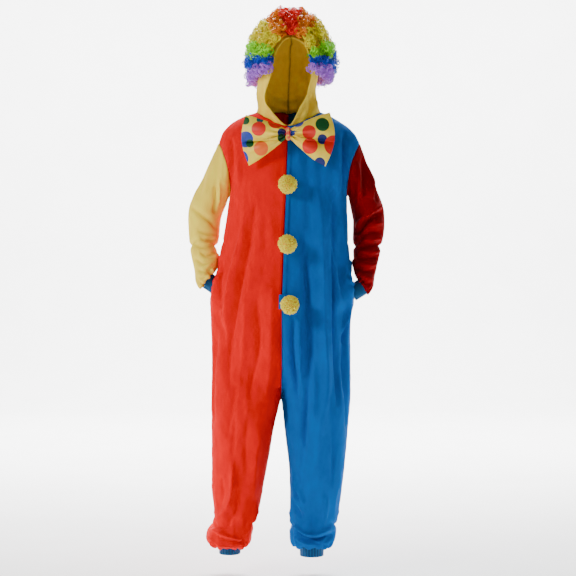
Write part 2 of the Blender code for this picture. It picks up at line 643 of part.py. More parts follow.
# ---- pockets ----
def pocket_bag(side):
    """Pouch behind the pocket mouth, from the mouth's own points down to its closed foot."""
    way = 1 if side == "right" else -1
    mouth_rows = [row for row in BODY if POCKET_FOOT - 1e-6 <= row.z <= POCKET_TOP + 1e-6]
    count = len(mouth_rows) - 1
    behind = FLEECE + 2 * CLEARANCE
    mouth = [body_point(row, side, "front", 1) for row in mouth_rows]
    mouth += [body_point(row, side, "back", 1) for row in mouth_rows[-2:0:-1]]
    rings = [[p + Vector((way * behind, 0, 0)) for p in mouth]]
    for row in POUCH:
        ring = []
        for i in range(2 * count):
            turn = pi * i / count
            z = (row.top + row.foot) / 2 + (row.top - row.foot) / 2 * cos(turn)
            side_x = between(BODY, z, f"{side}_out")
            ring.append(Vector((side_x + way * (row.inward + behind), row.y - row.depth * sin(turn), z)))
        rings.append(ring)
    mesh = loft(rings, capped=False)
    mesh.verts.ensure_lookup_table()
    mesh.faces.new(mesh.verts[-2 * count:])
    bmesh.ops.recalc_face_normals(mesh, faces=mesh.faces[:])
    return thicken(finish_object(f"pocket_bag_{side}", mesh, BLUE), POCKETING, -1)


# ---- curls ----
def curl_point(from_top, face, place, radii):
    """Point of a row of curls: place runs 0 to 3, from beside the face round behind to its other side."""
    a = radians(from_top)
    wide = sin(min(a, pi / 2))
    radii = radii.lerp(CURL_ROOT, max(0, from_top - CURL_TUCK) / 25)
    if place < 1 or place > 2:
        turn = radians(face) * (1 - place if place < 1 else place - 2)
        way = -1 if place < 1 else 1
        along = Vector((way * wide * cos(turn), -sin(turn), cos(a) * cos(turn)))
    else:
        turn = pi * (place - 1)
        along = Vector((-wide * cos(turn), wide * sin(turn), cos(a)))
    return CURL_CENTRE + Vector(along[i] * radii[i] for i in range(3))


def crown_curls(row):
    """The middle row: from the forehead back over the crown, with a rounded end."""
    rings = []
    reach = sin(radians(row.to_top - CURL_ROW_GAP))
    turns = [radians(row.face * (1 - i / 5)) for i in range(6)]
    turns += [-asin(reach * i) for i in (0.35, 0.65, 0.9)]
    for turn in turns:
        half = asin(reach if turn >= 0 else (reach**2 - sin(turn) ** 2) ** 0.5 / cos(turn))
        ring = []
        for way, radii in ((-1, CURL_ROOT), (-1, CURL_TIP), (1, CURL_TIP), (1, CURL_ROOT)):
            along = Vector((way * sin(half) * cos(turn), -sin(turn), cos(half) * cos(turn)))
            ring.append(CURL_CENTRE + Vector(along[i] * radii[i] for i in range(3)))
        rings.append(ring)
    return finish_object(row.name, loft(rings), row.name)


def curl_row(row):
    """Plain solid of one colour's row of curls."""
    if row.from_top == 0:
        return crown_curls(row)
    near, far = row.from_top + CURL_ROW_GAP, row.to_top - CURL_ROW_GAP
    places = [i / 4 for i in range(4)] + [1 + i / 8 for i in range(9)] + [2 + i / 4 for i in range(1, 5)]
    rings = [
        [
            curl_point(near, row.face, place, CURL_ROOT),
            curl_point(near, row.face, place, CURL_TIP),
            curl_point(far, row.face, place, CURL_TIP),
            curl_point(far, row.face, place, CURL_ROOT),
        ]
        for place in places
    ]
    return finish_object(row.name, loft(rings), row.name)


# ---- the jumpsuit ----
def clear_scene():
    for found in list(bpy.data.objects):
        bpy.data.objects.remove(found)


def build():
    clear_scene()
    garment = Garment()
    pieces = []
    for side, body_colour, sleeve_colour in (("right", RED, YELLOW), ("left", BLUE, DARK_RED)):
        for name, grid, thickness, colour in (
            (f"front_{side}", body_panel(side, "front"), FLEECE, body_colour),
            (f"back_{side}", body_panel(side, "back"), FLEECE, body_colour),
            (f"sleeve_{side}", sleeve(side), FLEECE, sleeve_colour),
            (f"wrist_cuff_{side}", wrist_cuff(side), RIB_KNIT, "rib_blue"),
            (f"ankle_cuff_{side}", ankle_cuff(side), RIB_KNIT, "rib_blue"),
            (f"hood_{side}", hood_half(side), FLEECE, YELLOW),
        ):
            garment.add(name, grid)
            pieces.append((name, thickness, colour))
    garment.sew()
    for name, thickness, colour in pieces:
        finish_object(name, garment.solid(name, thickness), colour)
    garment.mesh.free()
    placket()
    placket_tab()
    for row in POMPOMS:
        pompom(row)
    for side in ("right", "left"):
        bow_wing(side)
        pocket_bag(side)
    bow_knot()
    for row in CURL_ROWS:
        curl_row(row)


build()
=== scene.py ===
import math

import bmesh
import bpy
import numpy as np
from mathutils import Matrix, Vector, noise
from mathutils.kdtree import KDTree


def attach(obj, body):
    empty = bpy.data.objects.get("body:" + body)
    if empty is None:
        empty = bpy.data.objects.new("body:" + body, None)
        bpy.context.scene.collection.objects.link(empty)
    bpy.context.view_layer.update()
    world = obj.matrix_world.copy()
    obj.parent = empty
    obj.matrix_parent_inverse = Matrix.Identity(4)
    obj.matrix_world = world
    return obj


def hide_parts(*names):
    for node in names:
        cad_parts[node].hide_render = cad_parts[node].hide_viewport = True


# Clown jumpsuit: fleece shells with their folds, curls, bow, pompoms, light and camera.
# Metres, +Z up, the front faces -Y and the wearer's left is +X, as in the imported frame.

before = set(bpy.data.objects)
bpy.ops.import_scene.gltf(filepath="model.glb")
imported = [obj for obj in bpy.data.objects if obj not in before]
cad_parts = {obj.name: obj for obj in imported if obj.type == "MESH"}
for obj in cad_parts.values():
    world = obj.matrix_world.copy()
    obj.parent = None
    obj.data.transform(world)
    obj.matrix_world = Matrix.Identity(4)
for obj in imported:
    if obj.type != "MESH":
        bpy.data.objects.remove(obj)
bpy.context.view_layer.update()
print("frame loaded", len(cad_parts), "nodes")


# small helpers

def smoothStep(low, high, value):
    t = np.clip((value - low) / (high - low), 0.0, 1.0)
    return t * t * (3 - 2 * t)


def addObject(name, mesh, material):
    obj = bpy.data.objects.new(name, mesh)
    bpy.context.scene.collection.objects.link(obj)
    mesh.materials.clear()
    mesh.materials.append(material)
    mesh.shade_smooth()
    return obj


def meshFromBmesh(bm, name):
    mesh = bpy.data.meshes.new(name)
    bm.to_mesh(mesh)
    bm.free()
    return mesh


def subdividedMesh(bm, levels, name="work", corners="ALL"):
    mesh = meshFromBmesh(bm, name)
    obj = bpy.data.objects.new(name, mesh)
    bpy.context.scene.collection.objects.link(obj)
    surf = obj.modifiers.new("surf", "SUBSURF")
    surf.levels = levels
    surf.render_levels = levels
    surf.boundary_smooth = corners
    graph = bpy.context.evaluated_depsgraph_get()
    made = bpy.data.meshes.new_from_object(obj.evaluated_get(graph))
    bpy.data.objects.remove(obj)
    bpy.data.meshes.remove(mesh)
    return made


def points(mesh):
    co = np.empty(len(mesh.vertices) * 3, np.float32)
    mesh.vertices.foreach_get("co", co)
    return co.reshape(-1, 3).astype(float)


def normals(mesh):
    no = np.empty(len(mesh.vertices) * 3, np.float32)
    mesh.vertex_normals.foreach_get("vector", no)
    return no.reshape(-1, 3).astype(float)


def setPoints(mesh, co):
    mesh.vertices.foreach_set("co", co.astype(np.float32).ravel())
    mesh.update()


# materials: each one is worked out on Object coordinates, in metres

def newMaterial(name, roughness, sockets=()):
    mat = bpy.data.materials.new(name)
    mat.use_nodes = True
    shader = mat.node_tree.nodes["Principled BSDF"]
    shader.inputs["Roughness"].default_value = roughness
    for socket, value in dict(sockets).items():
        shader.inputs[socket].default_value = value
    return mat, mat.node_tree.nodes, mat.node_tree.links, shader


def noiseNode(nodes, links, coords, scale, detail=2.0, stretch=None):
    tex = nodes.new("ShaderNodeTexNoise")
    tex.inputs["Scale"].default_value = scale
    tex.inputs["Detail"].default_value = detail
    if stretch:
        mapping = nodes.new("ShaderNodeMapping")
        mapping.inputs["Scale"].default_value = stretch
        links.new(coords, mapping.inputs["Vector"])
        coords = mapping.outputs["Vector"]
    links.new(coords, tex.inputs["Vector"])
    return tex.outputs["Fac"]


def rampNode(nodes, links, value, stops):
    ramp = nodes.new("ShaderNodeValToRGB")
    while len(ramp.color_ramp.elements) < len(stops):
        ramp.color_ramp.elements.new(0.5)
    for element, (at, colour) in zip(ramp.color_ramp.elements, stops):
        element.position = at
        element.color = (*colour, 1)
    links.new(value, ramp.inputs["Fac"])
    return ramp.outputs["Color"]


def bumpNode(nodes, links, height, strength, distance, normal=None):
    bump = nodes.new("ShaderNodeBump")
    bump.inputs["Strength"].default_value = strength
    bump.inputs["Distance"].default_value = distance
    links.new(height, bump.inputs["Height"])
    if normal:
        links.new(normal, bump.inputs["Normal"])
    return bump.outputs["Normal"]


def objectCoords(nodes):
    return nodes.new("ShaderNodeTexCoord").outputs["Object"]


def attributeNode(nodes, name):
    node = nodes.new("ShaderNodeAttribute")
    node.attribute_name = name
    return node.outputs["Fac"]


def mixNode(nodes, links, factor, first, second):
    # from the first colour, a link, to the second, a fixed one
    mix = nodes.new("ShaderNodeMix")
    mix.data_type = "RGBA"
    links.new(factor, mix.inputs["Factor"])
    links.new(first, mix.inputs["A"])
    mix.inputs["B"].default_value = (*second, 1)
    return mix.outputs["Result"]


def addedNode(nodes, links, value, by, base):
    # value times a fixed amount, on top of the base
    added = nodes.new("ShaderNodeMath")
    added.operation = "MULTIPLY_ADD"
    links.new(value, added.inputs[0])
    added.inputs[1].default_value = by
    links.new(base, added.inputs[2])
    return added.outputs[0]


def shade(colour, by):
    return tuple(min(1.0, c * by) for c in colour)


def fleeceMaterial(name, colour, sheen=0.35, tint=(1, 1, 1, 1)):
    mat, nodes, links, shader = newMaterial(
        name, 0.92,
        {"Sheen Weight": sheen, "Sheen Roughness": 0.45, "Sheen Tint": tint, "Specular IOR Level": 0.06})
    coords = objectCoords(nodes)
    patches = noiseNode(nodes, links, coords, 38, 3, (1, 1, 0.45))
    nap = noiseNode(nodes, links, coords, 420, 3)
    fibre = noiseNode(nodes, links, coords, 1500, 2)
    tone = rampNode(nodes, links, addedNode(nodes, links, nap, 0.45, patches), [
        (0.45, shade(colour, 0.88)), (0.72, colour), (1.0, shade(colour, 1.10))])
    seamShade = attributeNode(nodes, "seamShade")  # painted shade along the seams: greatest on a seam, fading out within some millimetres
    links.new(mixNode(nodes, links, seamShade, tone, shade(colour, 0.45)), shader.inputs["Base Color"])
    soft = bumpNode(nodes, links, nap, 0.35, 0.0012)
    links.new(bumpNode(nodes, links, fibre, 0.3, 0.0005, soft), shader.inputs["Normal"])
    return mat


def knitMaterial(name, colour):
    mat, nodes, links, shader = newMaterial(name, 0.88, {"Sheen Weight": 0.2, "Specular IOR Level": 0.2})
    coords = objectCoords(nodes)
    loops = noiseNode(nodes, links, coords, 900, 2, (1, 1, 0.5))
    rib = attributeNode(nodes, "rib")  # 0 in a groove of the rib, 1 on its top; it paints shade into the grooves and a little light on the tops
    tone = rampNode(nodes, links, rib, [(0.0, shade(colour, 0.5)), (1.0, shade(colour, 1.1))])
    links.new(tone, shader.inputs["Base Color"])
    links.new(bumpNode(nodes, links, loops, 0.4, 0.0006), shader.inputs["Normal"])
    return mat


fleece = {
    "red": fleeceMaterial("fleeceRed", (0.84, 0.001, 0.003), 0.05, (1, 0.5, 0.42, 1)),
    "blue": fleeceMaterial("fleeceBlue", (0.0, 0.110, 0.42), 0.05, (0.5, 0.8, 1, 1)),
    "yellow": fleeceMaterial("fleeceYellow", (1.0, 0.72, 0.07), 0.04, (1, 0.9, 0.6, 1)),
    "darkRed": fleeceMaterial("fleeceDarkRed", (0.27, 0.001, 0.004), 0.06, (1, 0.4, 0.4, 1)),
}
ribBlue = knitMaterial("ribBlue", (0.004, 0.10, 0.27))
print("cloth materials made")


# the cloth as one surface: the outer sides of the CAD walls, sewn together and refined

clothPieces = {
    "front_right": ("red", 0.0025), "front_left": ("blue", 0.0025),
    "back_right": ("red", 0.0025), "back_left": ("blue", 0.0025),
    "sleeve_right": ("yellow", 0.0025), "sleeve_left": ("darkRed", 0.0025),
    "hood_right": ("yellow", 0.0025), "hood_left": ("yellow", 0.0025),
    "wrist_cuff_right": ("rib", 0.0022), "wrist_cuff_left": ("rib", 0.0022),
    "ankle_cuff_right": ("rib", 0.0022), "ankle_cuff_left": ("rib", 0.0022),
}
pieceNames = list(clothPieces)
weldWithin = 0.00002  # corners this near are one point of a CAD node
sewWithin = 0.0016  # and edges this near are one seam
rimShare = 2.2  # a rim face has an edge shorter than this share of the wall, slanted rims too


def weldedNode(node):
    bm = bmesh.new()
    bm.from_mesh(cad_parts[node].data)
    bmesh.ops.remove_doubles(bm, verts=bm.verts[:], dist=weldWithin)
    return bm


def joinTriangles(bm):
    bmesh.ops.join_triangles(
        bm, faces=bm.faces[:], angle_face_threshold=math.pi, angle_shape_threshold=math.pi)


def outerSide(node, wall, facing=None):
    bm = weldedNode(node)
    rims = [f for f in bm.faces if min(e.calc_length() for e in f.edges) < wall * rimShare]
    bmesh.ops.delete(bm, geom=rims, context="FACES")
    left = set(bm.faces)
    sides = []
    while left:
        side = [left.pop()]
        for face in side:
            for edge in face.edges:
                for other in edge.link_faces:
                    if other in left:
                        left.discard(other)
                        side.append(other)
        sides.append(side)
    if facing:
        sides.sort(key=lambda side: -sum(f.calc_area() * f.normal.dot(facing) for f in side))
    else:
        sides.sort(key=lambda side: -sum(f.calc_area() for f in side))
    bmesh.ops.delete(bm, geom=[f for side in sides[1:] for f in side], context="FACES")
    joinTriangles(bm)
    return bm


def sewnSurface():
    whole = bmesh.new()
    for index, name in enumerate(pieceNames):
        bm = outerSide(name, clothPieces[name][1])
        for face in bm.faces:
            face.material_index = index
        part = meshFromBmesh(bm, name)
        whole.from_mesh(part)
        bpy.data.meshes.remove(part)
    rim = [v for v in whole.verts if v.is_boundary]
    bmesh.ops.remove_doubles(whole, verts=rim, dist=sewWithin)
    bmesh.ops.recalc_face_normals(whole, faces=whole.faces[:])
    foremost = min(whole.faces, key=lambda f: f.calc_center_median().y)
    if foremost.normal.y > 0:
        bmesh.ops.reverse_faces(whole, faces=whole.faces[:])
    print("sewn surface", len(whole.faces), "faces", sum(e.is_boundary for e in whole.edges), "open edges")
    return whole


cloth = subdividedMesh(sewnSurface(), 3, "cloth")
restPoints = points(cloth)
restNormals = normals(cloth)
print("cloth refined", len(cloth.vertices), "points")


def seamDistances(mesh, co):
    edgePieces = {}
    for poly in mesh.polygons:
        for key in poly.edge_keys:
            edgePieces.setdefault(key, []).append(poly.material_index)
    seams, opens = set(), set()
    for key, found in edgePieces.items():
        if len(found) == 1:
            opens.update(key)
        elif found[0] != found[1]:
            seams.update(key)
    out = []
    for chosen in (seams, opens):
        tree = KDTree(len(chosen))
        for i in chosen:
            tree.insert(co[i], i)
        tree.balance()
        out.append(np.array([tree.find(p)[2] for p in co]))
    return out


seamAway, openAway = seamDistances(cloth, restPoints)

# folds on each side: depth, left half width, right half width, and the points (across, z) of its line
# the cloth goes in by the depth, or stands out where it is below 0; left and right are seen along the line

folds = {
    "front": [
        # right front: the long trough from the chest to the knee and the ridges beside it
        (0.013, 0.017, 0.013, (-0.095, -0.29), (-0.111, -0.39), (-0.151, -0.57), (-0.172, -0.69),
         (-0.181, -0.80), (-0.176, -0.88)),
        (-0.006, 0.012, 0.012, (-0.130, -0.36), (-0.156, -0.475), (-0.178, -0.58), (-0.197, -0.69)),
        (0.008, 0.013, 0.013, (-0.085, -0.59), (-0.082, -0.73), (-0.095, -0.82), (-0.116, -0.91)),
        (-0.006, 0.018, 0.014, (-0.040, -0.56), (-0.043, -0.70), (-0.052, -0.82), (-0.066, -0.93)),
        (-0.006, 0.016, 0.012, (-0.125, -0.60), (-0.128, -0.72), (-0.140, -0.84)),
        (0.006, 0.008, 0.010, (-0.018, -0.62), (-0.016, -0.72), (-0.018, -0.86)),
        (0.007, 0.010, 0.012, (-0.148, -0.87), (-0.168, -0.94), (-0.185, -1.04)),
        (0.004, 0.006, 0.008, (-0.158, -0.96), (-0.162, -1.03), (-0.168, -1.10)),
        (0.004, 0.014, 0.010, (-0.115, -0.96), (-0.124, -1.06), (-0.120, -1.16)),
        (-0.005, 0.014, 0.012, (-0.075, -1.00), (-0.098, -1.12), (-0.104, -1.24)),
        (-0.010, 0.007, 0.011, (-0.163, -1.11), (-0.166, -1.21), (-0.187, -1.275), (-0.222, -1.318)),
        (0.006, 0.012, 0.010, (-0.150, -1.20), (-0.156, -1.27), (-0.186, -1.322)),
        (0.004, 0.006, 0.006, (-0.205, -1.16), (-0.198, -1.22), (-0.209, -1.27)),
        (0.005, 0.007, 0.006, (-0.236, -1.322), (-0.205, -1.328), (-0.165, -1.318)),
        (-0.005, 0.006, 0.005, (-0.244, -1.335), (-0.199, -1.350), (-0.140, -1.366)),
        (0.006, 0.005, 0.005, (-0.228, -1.348), (-0.190, -1.3685), (-0.128, -1.380)),
        (0.005, 0.005, 0.005, (-0.246, -1.3755), (-0.2125, -1.394)),
        (-0.004, 0.005, 0.005, (-0.250, -1.362), (-0.205, -1.384), (-0.160, -1.390)),
        (0.004, 0.005, 0.005, (-0.140, -1.352), (-0.128, -1.366), (-0.118, -1.386)),
        (-0.008, 0.008, 0.009, (-0.086, -1.25), (-0.112, -1.320), (-0.150, -1.372)),
        (0.007, 0.007, 0.006, (-0.098, -1.300), (-0.120, -1.352), (-0.140, -1.385)),
        (0.007, 0.007, 0.009, (-0.200, -0.46), (-0.206, -0.54), (-0.203, -0.63)),
        (0.004, 0.008, 0.008, (-0.214, -0.64), (-0.200, -0.70), (-0.196, -0.77)),
        (0.009, 0.008, 0.009, (-0.173, -0.080), (-0.170, -0.14), (-0.172, -0.215), (-0.168, -0.27)),
        (-0.003, 0.012, 0.012, (-0.150, -0.13), (-0.147, -0.21), (-0.156, -0.30)),
        (0.003, 0.016, 0.016, (-0.060, -0.30), (-0.064, -0.42), (-0.060, -0.52)),
        # left front: a trough beside the placket, then the broad ridge, its sharp edge and the dark side
        (0.012, 0.012, 0.014, (0.058, -0.38), (0.066, -0.46), (0.078, -0.59), (0.079, -0.73),
         (0.076, -0.87)),
        (-0.009, 0.015, 0.018, (0.104, -0.25), (0.116, -0.41), (0.122, -0.59), (0.127, -0.74),
         (0.128, -0.89), (0.108, -1.03), (0.106, -1.14)),
        (0.010, 0.010, 0.005, (0.149, -0.40), (0.155, -0.56), (0.157, -0.72), (0.160, -0.82),
         (0.168, -0.94)),
        (0.009, 0.012, 0.010, (0.155, -0.24), (0.163, -0.40), (0.180, -0.52), (0.186, -0.60)),
        (-0.005, 0.009, 0.009, (0.178, -0.34), (0.190, -0.44), (0.198, -0.54)),
        (0.008, 0.008, 0.008, (0.030, -0.64), (0.026, -0.74), (0.032, -0.85), (0.042, -0.95)),
        (-0.006, 0.008, 0.008, (0.046, -0.66), (0.046, -0.76), (0.052, -0.87)),
        (0.008, 0.012, 0.010, (0.076, -0.86), (0.064, -0.97), (0.061, -1.05), (0.063, -1.12)),
        (-0.004, 0.010, 0.010, (0.090, -0.80), (0.094, -0.90), (0.084, -1.02)),
        (-0.006, 0.006, 0.006, (0.214, -0.62), (0.200, -0.66), (0.184, -0.712)),
        (0.007, 0.007, 0.006, (0.214, -0.655), (0.200, -0.69), (0.190, -0.745)),
        (0.004, 0.012, 0.012, (0.150, -0.98), (0.156, -1.08), (0.150, -1.20)),
        (-0.007, 0.006, 0.006, (0.015, -1.145), (0.034, -1.185), (0.050, -1.225), (0.064, -1.262)),
        (0.007, 0.006, 0.006, (0.016, -1.175), (0.030, -1.205), (0.044, -1.245)),
        (-0.006, 0.006, 0.005, (0.020, -1.215), (0.042, -1.248), (0.062, -1.282)),
        (0.006, 0.006, 0.006, (0.018, -1.24), (0.034, -1.270), (0.052, -1.300)),
        (-0.006, 0.008, 0.008, (0.133, -1.23), (0.127, -1.29), (0.117, -1.335)),
        (-0.007, 0.006, 0.006, (0.020, -1.318), (0.050, -1.340), (0.088, -1.352), (0.150, -1.334)),
        (0.010, 0.006, 0.007, (0.024, -1.335), (0.058, -1.358), (0.100, -1.366), (0.155, -1.352)),
        (-0.004, 0.005, 0.005, (0.030, -1.364), (0.062, -1.376), (0.100, -1.384)),
        (0.005, 0.005, 0.005, (0.020, -1.356), (0.070, -1.371), (0.134, -1.391)),
        (0.004, 0.005, 0.006, (0.160, -1.345), (0.146, -1.366), (0.118, -1.380)),
        (0.009, 0.009, 0.008, (0.190, -0.06), (0.191, -0.13), (0.192, -0.20), (0.188, -0.27)),
        (-0.003, 0.012, 0.012, (0.168, -0.10), (0.168, -0.20), (0.160, -0.30)),
        # right sleeve: fine creases that fan from the crook of the elbow and bunch towards the wrist
        (0.006, 0.008, 0.006, (-0.312, -0.300), (-0.278, -0.325), (-0.240, -0.352), (-0.222, -0.375)),
        (0.007, 0.006, 0.007, (-0.226, -0.235), (-0.224, -0.28), (-0.230, -0.325)),
        (-0.004, 0.006, 0.006, (-0.212, -0.21), (-0.210, -0.26), (-0.222, -0.315)),
        (0.004, 0.012, 0.012, (-0.262, -0.16), (-0.270, -0.22), (-0.288, -0.28)),
        (0.005, 0.006, 0.005, (-0.285, -0.378), (-0.255, -0.388), (-0.222, -0.392)),
        (0.006, 0.005, 0.005, (-0.276, -0.402), (-0.248, -0.412), (-0.222, -0.408)),
        (0.005, 0.006, 0.005, (-0.300, -0.424), (-0.262, -0.434), (-0.228, -0.430)),
        (0.006, 0.005, 0.006, (-0.276, -0.450), (-0.250, -0.460), (-0.226, -0.452)),
        (0.005, 0.006, 0.005, (-0.296, -0.470), (-0.264, -0.486), (-0.232, -0.474)),
        (0.005, 0.005, 0.005, (-0.282, -0.506), (-0.256, -0.512), (-0.230, -0.492)),
        (0.004, 0.004, 0.005, (-0.280, -0.530), (-0.258, -0.528), (-0.236, -0.508)),
        # left sleeve: long folds in the upper arm, a deep diagonal at the elbow and stacked rolls below it
        (0.008, 0.007, 0.009, (0.252, -0.14), (0.258, -0.20), (0.254, -0.27)),
        (-0.006, 0.007, 0.007, (0.232, -0.16), (0.236, -0.22), (0.238, -0.30)),
        (-0.006, 0.008, 0.008, (0.272, -0.15), (0.282, -0.21), (0.280, -0.28)),
        (0.006, 0.007, 0.008, (0.288, -0.18), (0.297, -0.235), (0.296, -0.29)),
        (-0.009, 0.007, 0.008, (0.322, -0.292), (0.290, -0.312), (0.256, -0.340), (0.232, -0.372)),
        (0.010, 0.007, 0.007, (0.318, -0.318), (0.286, -0.336), (0.252, -0.366), (0.230, -0.392)),
        (-0.006, 0.008, 0.007, (0.320, -0.350), (0.286, -0.360), (0.252, -0.386)),
        (0.007, 0.007, 0.007, (0.316, -0.384), (0.280, -0.388), (0.244, -0.398)),
        (-0.006, 0.007, 0.007, (0.316, -0.404), (0.280, -0.410), (0.240, -0.416)),
        (0.008, 0.006, 0.007, (0.314, -0.424), (0.280, -0.430), (0.236, -0.430)),
        (-0.006, 0.007, 0.006, (0.311, -0.442), (0.276, -0.450), (0.234, -0.447)),
        (0.008, 0.007, 0.006, (0.308, -0.462), (0.274, -0.470), (0.234, -0.464)),
        (-0.005, 0.007, 0.006, (0.302, -0.484), (0.268, -0.492), (0.232, -0.480)),
        (0.007, 0.006, 0.006, (0.296, -0.508), (0.262, -0.512), (0.230, -0.496)),
        (-0.004, 0.006, 0.005, (0.286, -0.530), (0.258, -0.532), (0.232, -0.512)),
        (0.006, 0.005, 0.005, (0.280, -0.552), (0.256, -0.550), (0.236, -0.526)),
        # hood: soft pleats that rise from the neck seam
        (0.006, 0.006, 0.006, (0.096, 0.088), (0.092, 0.045), (0.082, 0.000), (0.066, -0.026)),
        (-0.004, 0.005, 0.005, (0.104, 0.070), (0.101, 0.035), (0.096, 0.006)),
        (-0.003, 0.006, 0.006, (0.080, 0.030), (0.070, 0.000), (0.052, -0.026)),
        (0.004, 0.007, 0.007, (-0.078, 0.070), (-0.080, 0.030), (-0.068, -0.008)),
        (0.003, 0.006, 0.006, (-0.060, 0.010), (-0.046, -0.016), (-0.026, -0.040)),
    ],
    "back": [
        (0.0035, 0.008, 0.008, (-0.062, 0.072), (0.010, 0.052), (0.080, 0.070)),
        (0.0030, 0.007, 0.007, (-0.060, 0.036), (0.010, 0.020), (0.084, 0.038)),
        (0.011, 0.015, 0.018, (-0.100, -0.22), (-0.112, -0.38), (-0.108, -0.56), (-0.124, -0.72)),
        (-0.006, 0.016, 0.016, (-0.060, -0.30), (-0.066, -0.46), (-0.058, -0.62)),
        (-0.006, 0.014, 0.012, (-0.150, -0.34), (-0.160, -0.48), (-0.172, -0.66)),
        (0.010, 0.017, 0.013, (0.085, -0.20), (0.096, -0.34), (0.090, -0.52), (0.098, -0.68)),
        (-0.005, 0.015, 0.015, (0.050, -0.34), (0.054, -0.50), (0.048, -0.60)),
        (-0.007, 0.014, 0.014, (0.140, -0.26), (0.150, -0.42), (0.160, -0.60)),
        (0.008, 0.010, 0.010, (0.172, -0.30), (0.180, -0.44), (0.184, -0.56)),
        (0.008, 0.012, 0.016, (-0.020, -0.88), (-0.060, -0.84), (-0.110, -0.83), (-0.160, -0.86)),
        (0.008, 0.016, 0.012, (0.002, -0.88), (0.050, -0.845), (0.100, -0.84), (0.150, -0.87)),
        (-0.005, 0.012, 0.012, (-0.026, -0.93), (-0.070, -0.90), (-0.120, -0.90)),
        (-0.005, 0.012, 0.012, (0.010, -0.93), (0.056, -0.905), (0.100, -0.91)),
        (0.008, 0.014, 0.014, (-0.130, -0.92), (-0.140, -1.04), (-0.132, -1.18)),
        (-0.006, 0.012, 0.012, (-0.180, -0.98), (-0.188, -1.10), (-0.186, -1.24)),
        (0.008, 0.014, 0.014, (0.100, -0.94), (0.112, -1.06), (0.100, -1.20)),
        (-0.005, 0.012, 0.012, (0.056, -1.00), (0.060, -1.12), (0.058, -1.22)),
        (0.010, 0.007, 0.008, (-0.235, -1.330), (-0.190, -1.345), (-0.130, -1.335)),
        (-0.003, 0.008, 0.008, (-0.225, -1.300), (-0.180, -1.318), (-0.120, -1.300)),
        (0.006, 0.008, 0.008, (-0.120, -1.24), (-0.150, -1.275), (-0.190, -1.29)),
        (0.010, 0.007, 0.008, (0.030, -1.335), (0.085, -1.352), (0.150, -1.336)),
        (-0.003, 0.008, 0.008, (0.030, -1.300), (0.085, -1.322), (0.155, -1.300)),
        (0.006, 0.008, 0.008, (0.140, -1.22), (0.110, -1.262), (0.060, -1.28)),
        (0.008, 0.010, 0.010, (-0.170, -0.07), (-0.164, -0.16), (-0.150, -0.26)),
        (0.008, 0.010, 0.010, (0.186, -0.07), (0.182, -0.16), (0.166, -0.26)),
        (0.004, 0.012, 0.012, (-0.050, -0.05), (-0.090, -0.09), (-0.140, -0.12)),
        (0.004, 0.012, 0.012, (0.070, -0.05), (0.110, -0.09), (0.160, -0.12)),
        (0.007, 0.008, 0.008, (-0.310, -0.30), (-0.270, -0.33), (-0.225, -0.34)),
        (0.007, 0.008, 0.008, (-0.314, -0.35), (-0.272, -0.375), (-0.225, -0.38)),
        (0.006, 0.007, 0.008, (-0.308, -0.40), (-0.268, -0.425), (-0.228, -0.42)),
        (0.006, 0.007, 0.007, (-0.300, -0.45), (-0.266, -0.468), (-0.230, -0.456)),
        (0.005, 0.006, 0.006, (-0.290, -0.50), (-0.262, -0.506), (-0.234, -0.486)),
        (0.008, 0.008, 0.008, (0.318, -0.30), (0.280, -0.33), (0.236, -0.34)),
        (0.007, 0.008, 0.008, (0.320, -0.352), (0.282, -0.378), (0.236, -0.38)),
        (0.007, 0.008, 0.007, (0.314, -0.408), (0.276, -0.430), (0.236, -0.42)),
        (0.006, 0.007, 0.007, (0.306, -0.456), (0.270, -0.474), (0.236, -0.462)),
        (0.005, 0.006, 0.006, (0.294, -0.508), (0.262, -0.516), (0.236, -0.494)),
    ],
    "right": [  # lines of (y, z) down the side seams
        (0.004, 0.006, 0.007, (-0.080, 0.10), (-0.070, 0.035), (-0.082, -0.010)),
        (-0.003, 0.007, 0.007, (-0.052, 0.11), (-0.044, 0.05), (-0.054, 0.002)),
        (0.004, 0.007, 0.008, (-0.018, 0.10), (-0.012, 0.04), (-0.022, 0.006)),
        (0.003, 0.008, 0.008, (0.034, 0.10), (0.040, 0.05), (0.030, 0.010)),
        (0.007, 0.012, 0.012, (-0.060, -0.70), (-0.050, -0.84), (-0.062, -1.00)),
        (0.007, 0.014, 0.012, (0.050, -0.68), (0.062, -0.86), (0.050, -1.06)),
        (0.005, 0.012, 0.012, (-0.010, -0.96), (0.000, -1.08), (-0.016, -1.20)),
        (0.005, 0.008, 0.008, (-0.080, -1.320), (0.000, -1.336), (0.080, -1.318)),
        (-0.0015, 0.008, 0.008, (-0.070, -1.280), (0.000, -1.296), (0.060, -1.280)),
        (0.005, 0.010, 0.010, (0.020, -0.14), (0.030, -0.20), (0.040, -0.28)),
        (0.004, 0.008, 0.008, (-0.040, -0.40), (0.020, -0.43), (0.080, -0.42)),
    ],
    "left": [
        (0.004, 0.007, 0.006, (-0.086, 0.105), (-0.074, 0.04), (-0.084, -0.012)),
        (-0.003, 0.007, 0.007, (-0.062, 0.11), (-0.050, 0.045), (-0.060, -0.006)),
        (0.004, 0.008, 0.006, (-0.030, 0.10), (-0.022, 0.04), (-0.034, 0.000)),
        (0.003, 0.008, 0.008, (0.024, 0.105), (0.030, 0.05), (0.018, 0.006)),
        (0.007, 0.012, 0.012, (-0.055, -0.70), (-0.066, -0.86), (-0.050, -1.02)),
        (0.007, 0.012, 0.014, (0.055, -0.70), (0.048, -0.88), (0.060, -1.08)),
        (0.005, 0.012, 0.012, (0.000, -0.98), (-0.012, -1.10), (0.004, -1.22)),
        (0.005, 0.008, 0.008, (-0.080, -1.318), (0.000, -1.334), (0.080, -1.320)),
        (-0.0015, 0.008, 0.008, (-0.070, -1.280), (0.010, -1.294), (0.060, -1.276)),
        (0.006, 0.010, 0.010, (0.020, -0.14), (0.036, -0.20), (0.040, -0.28)),
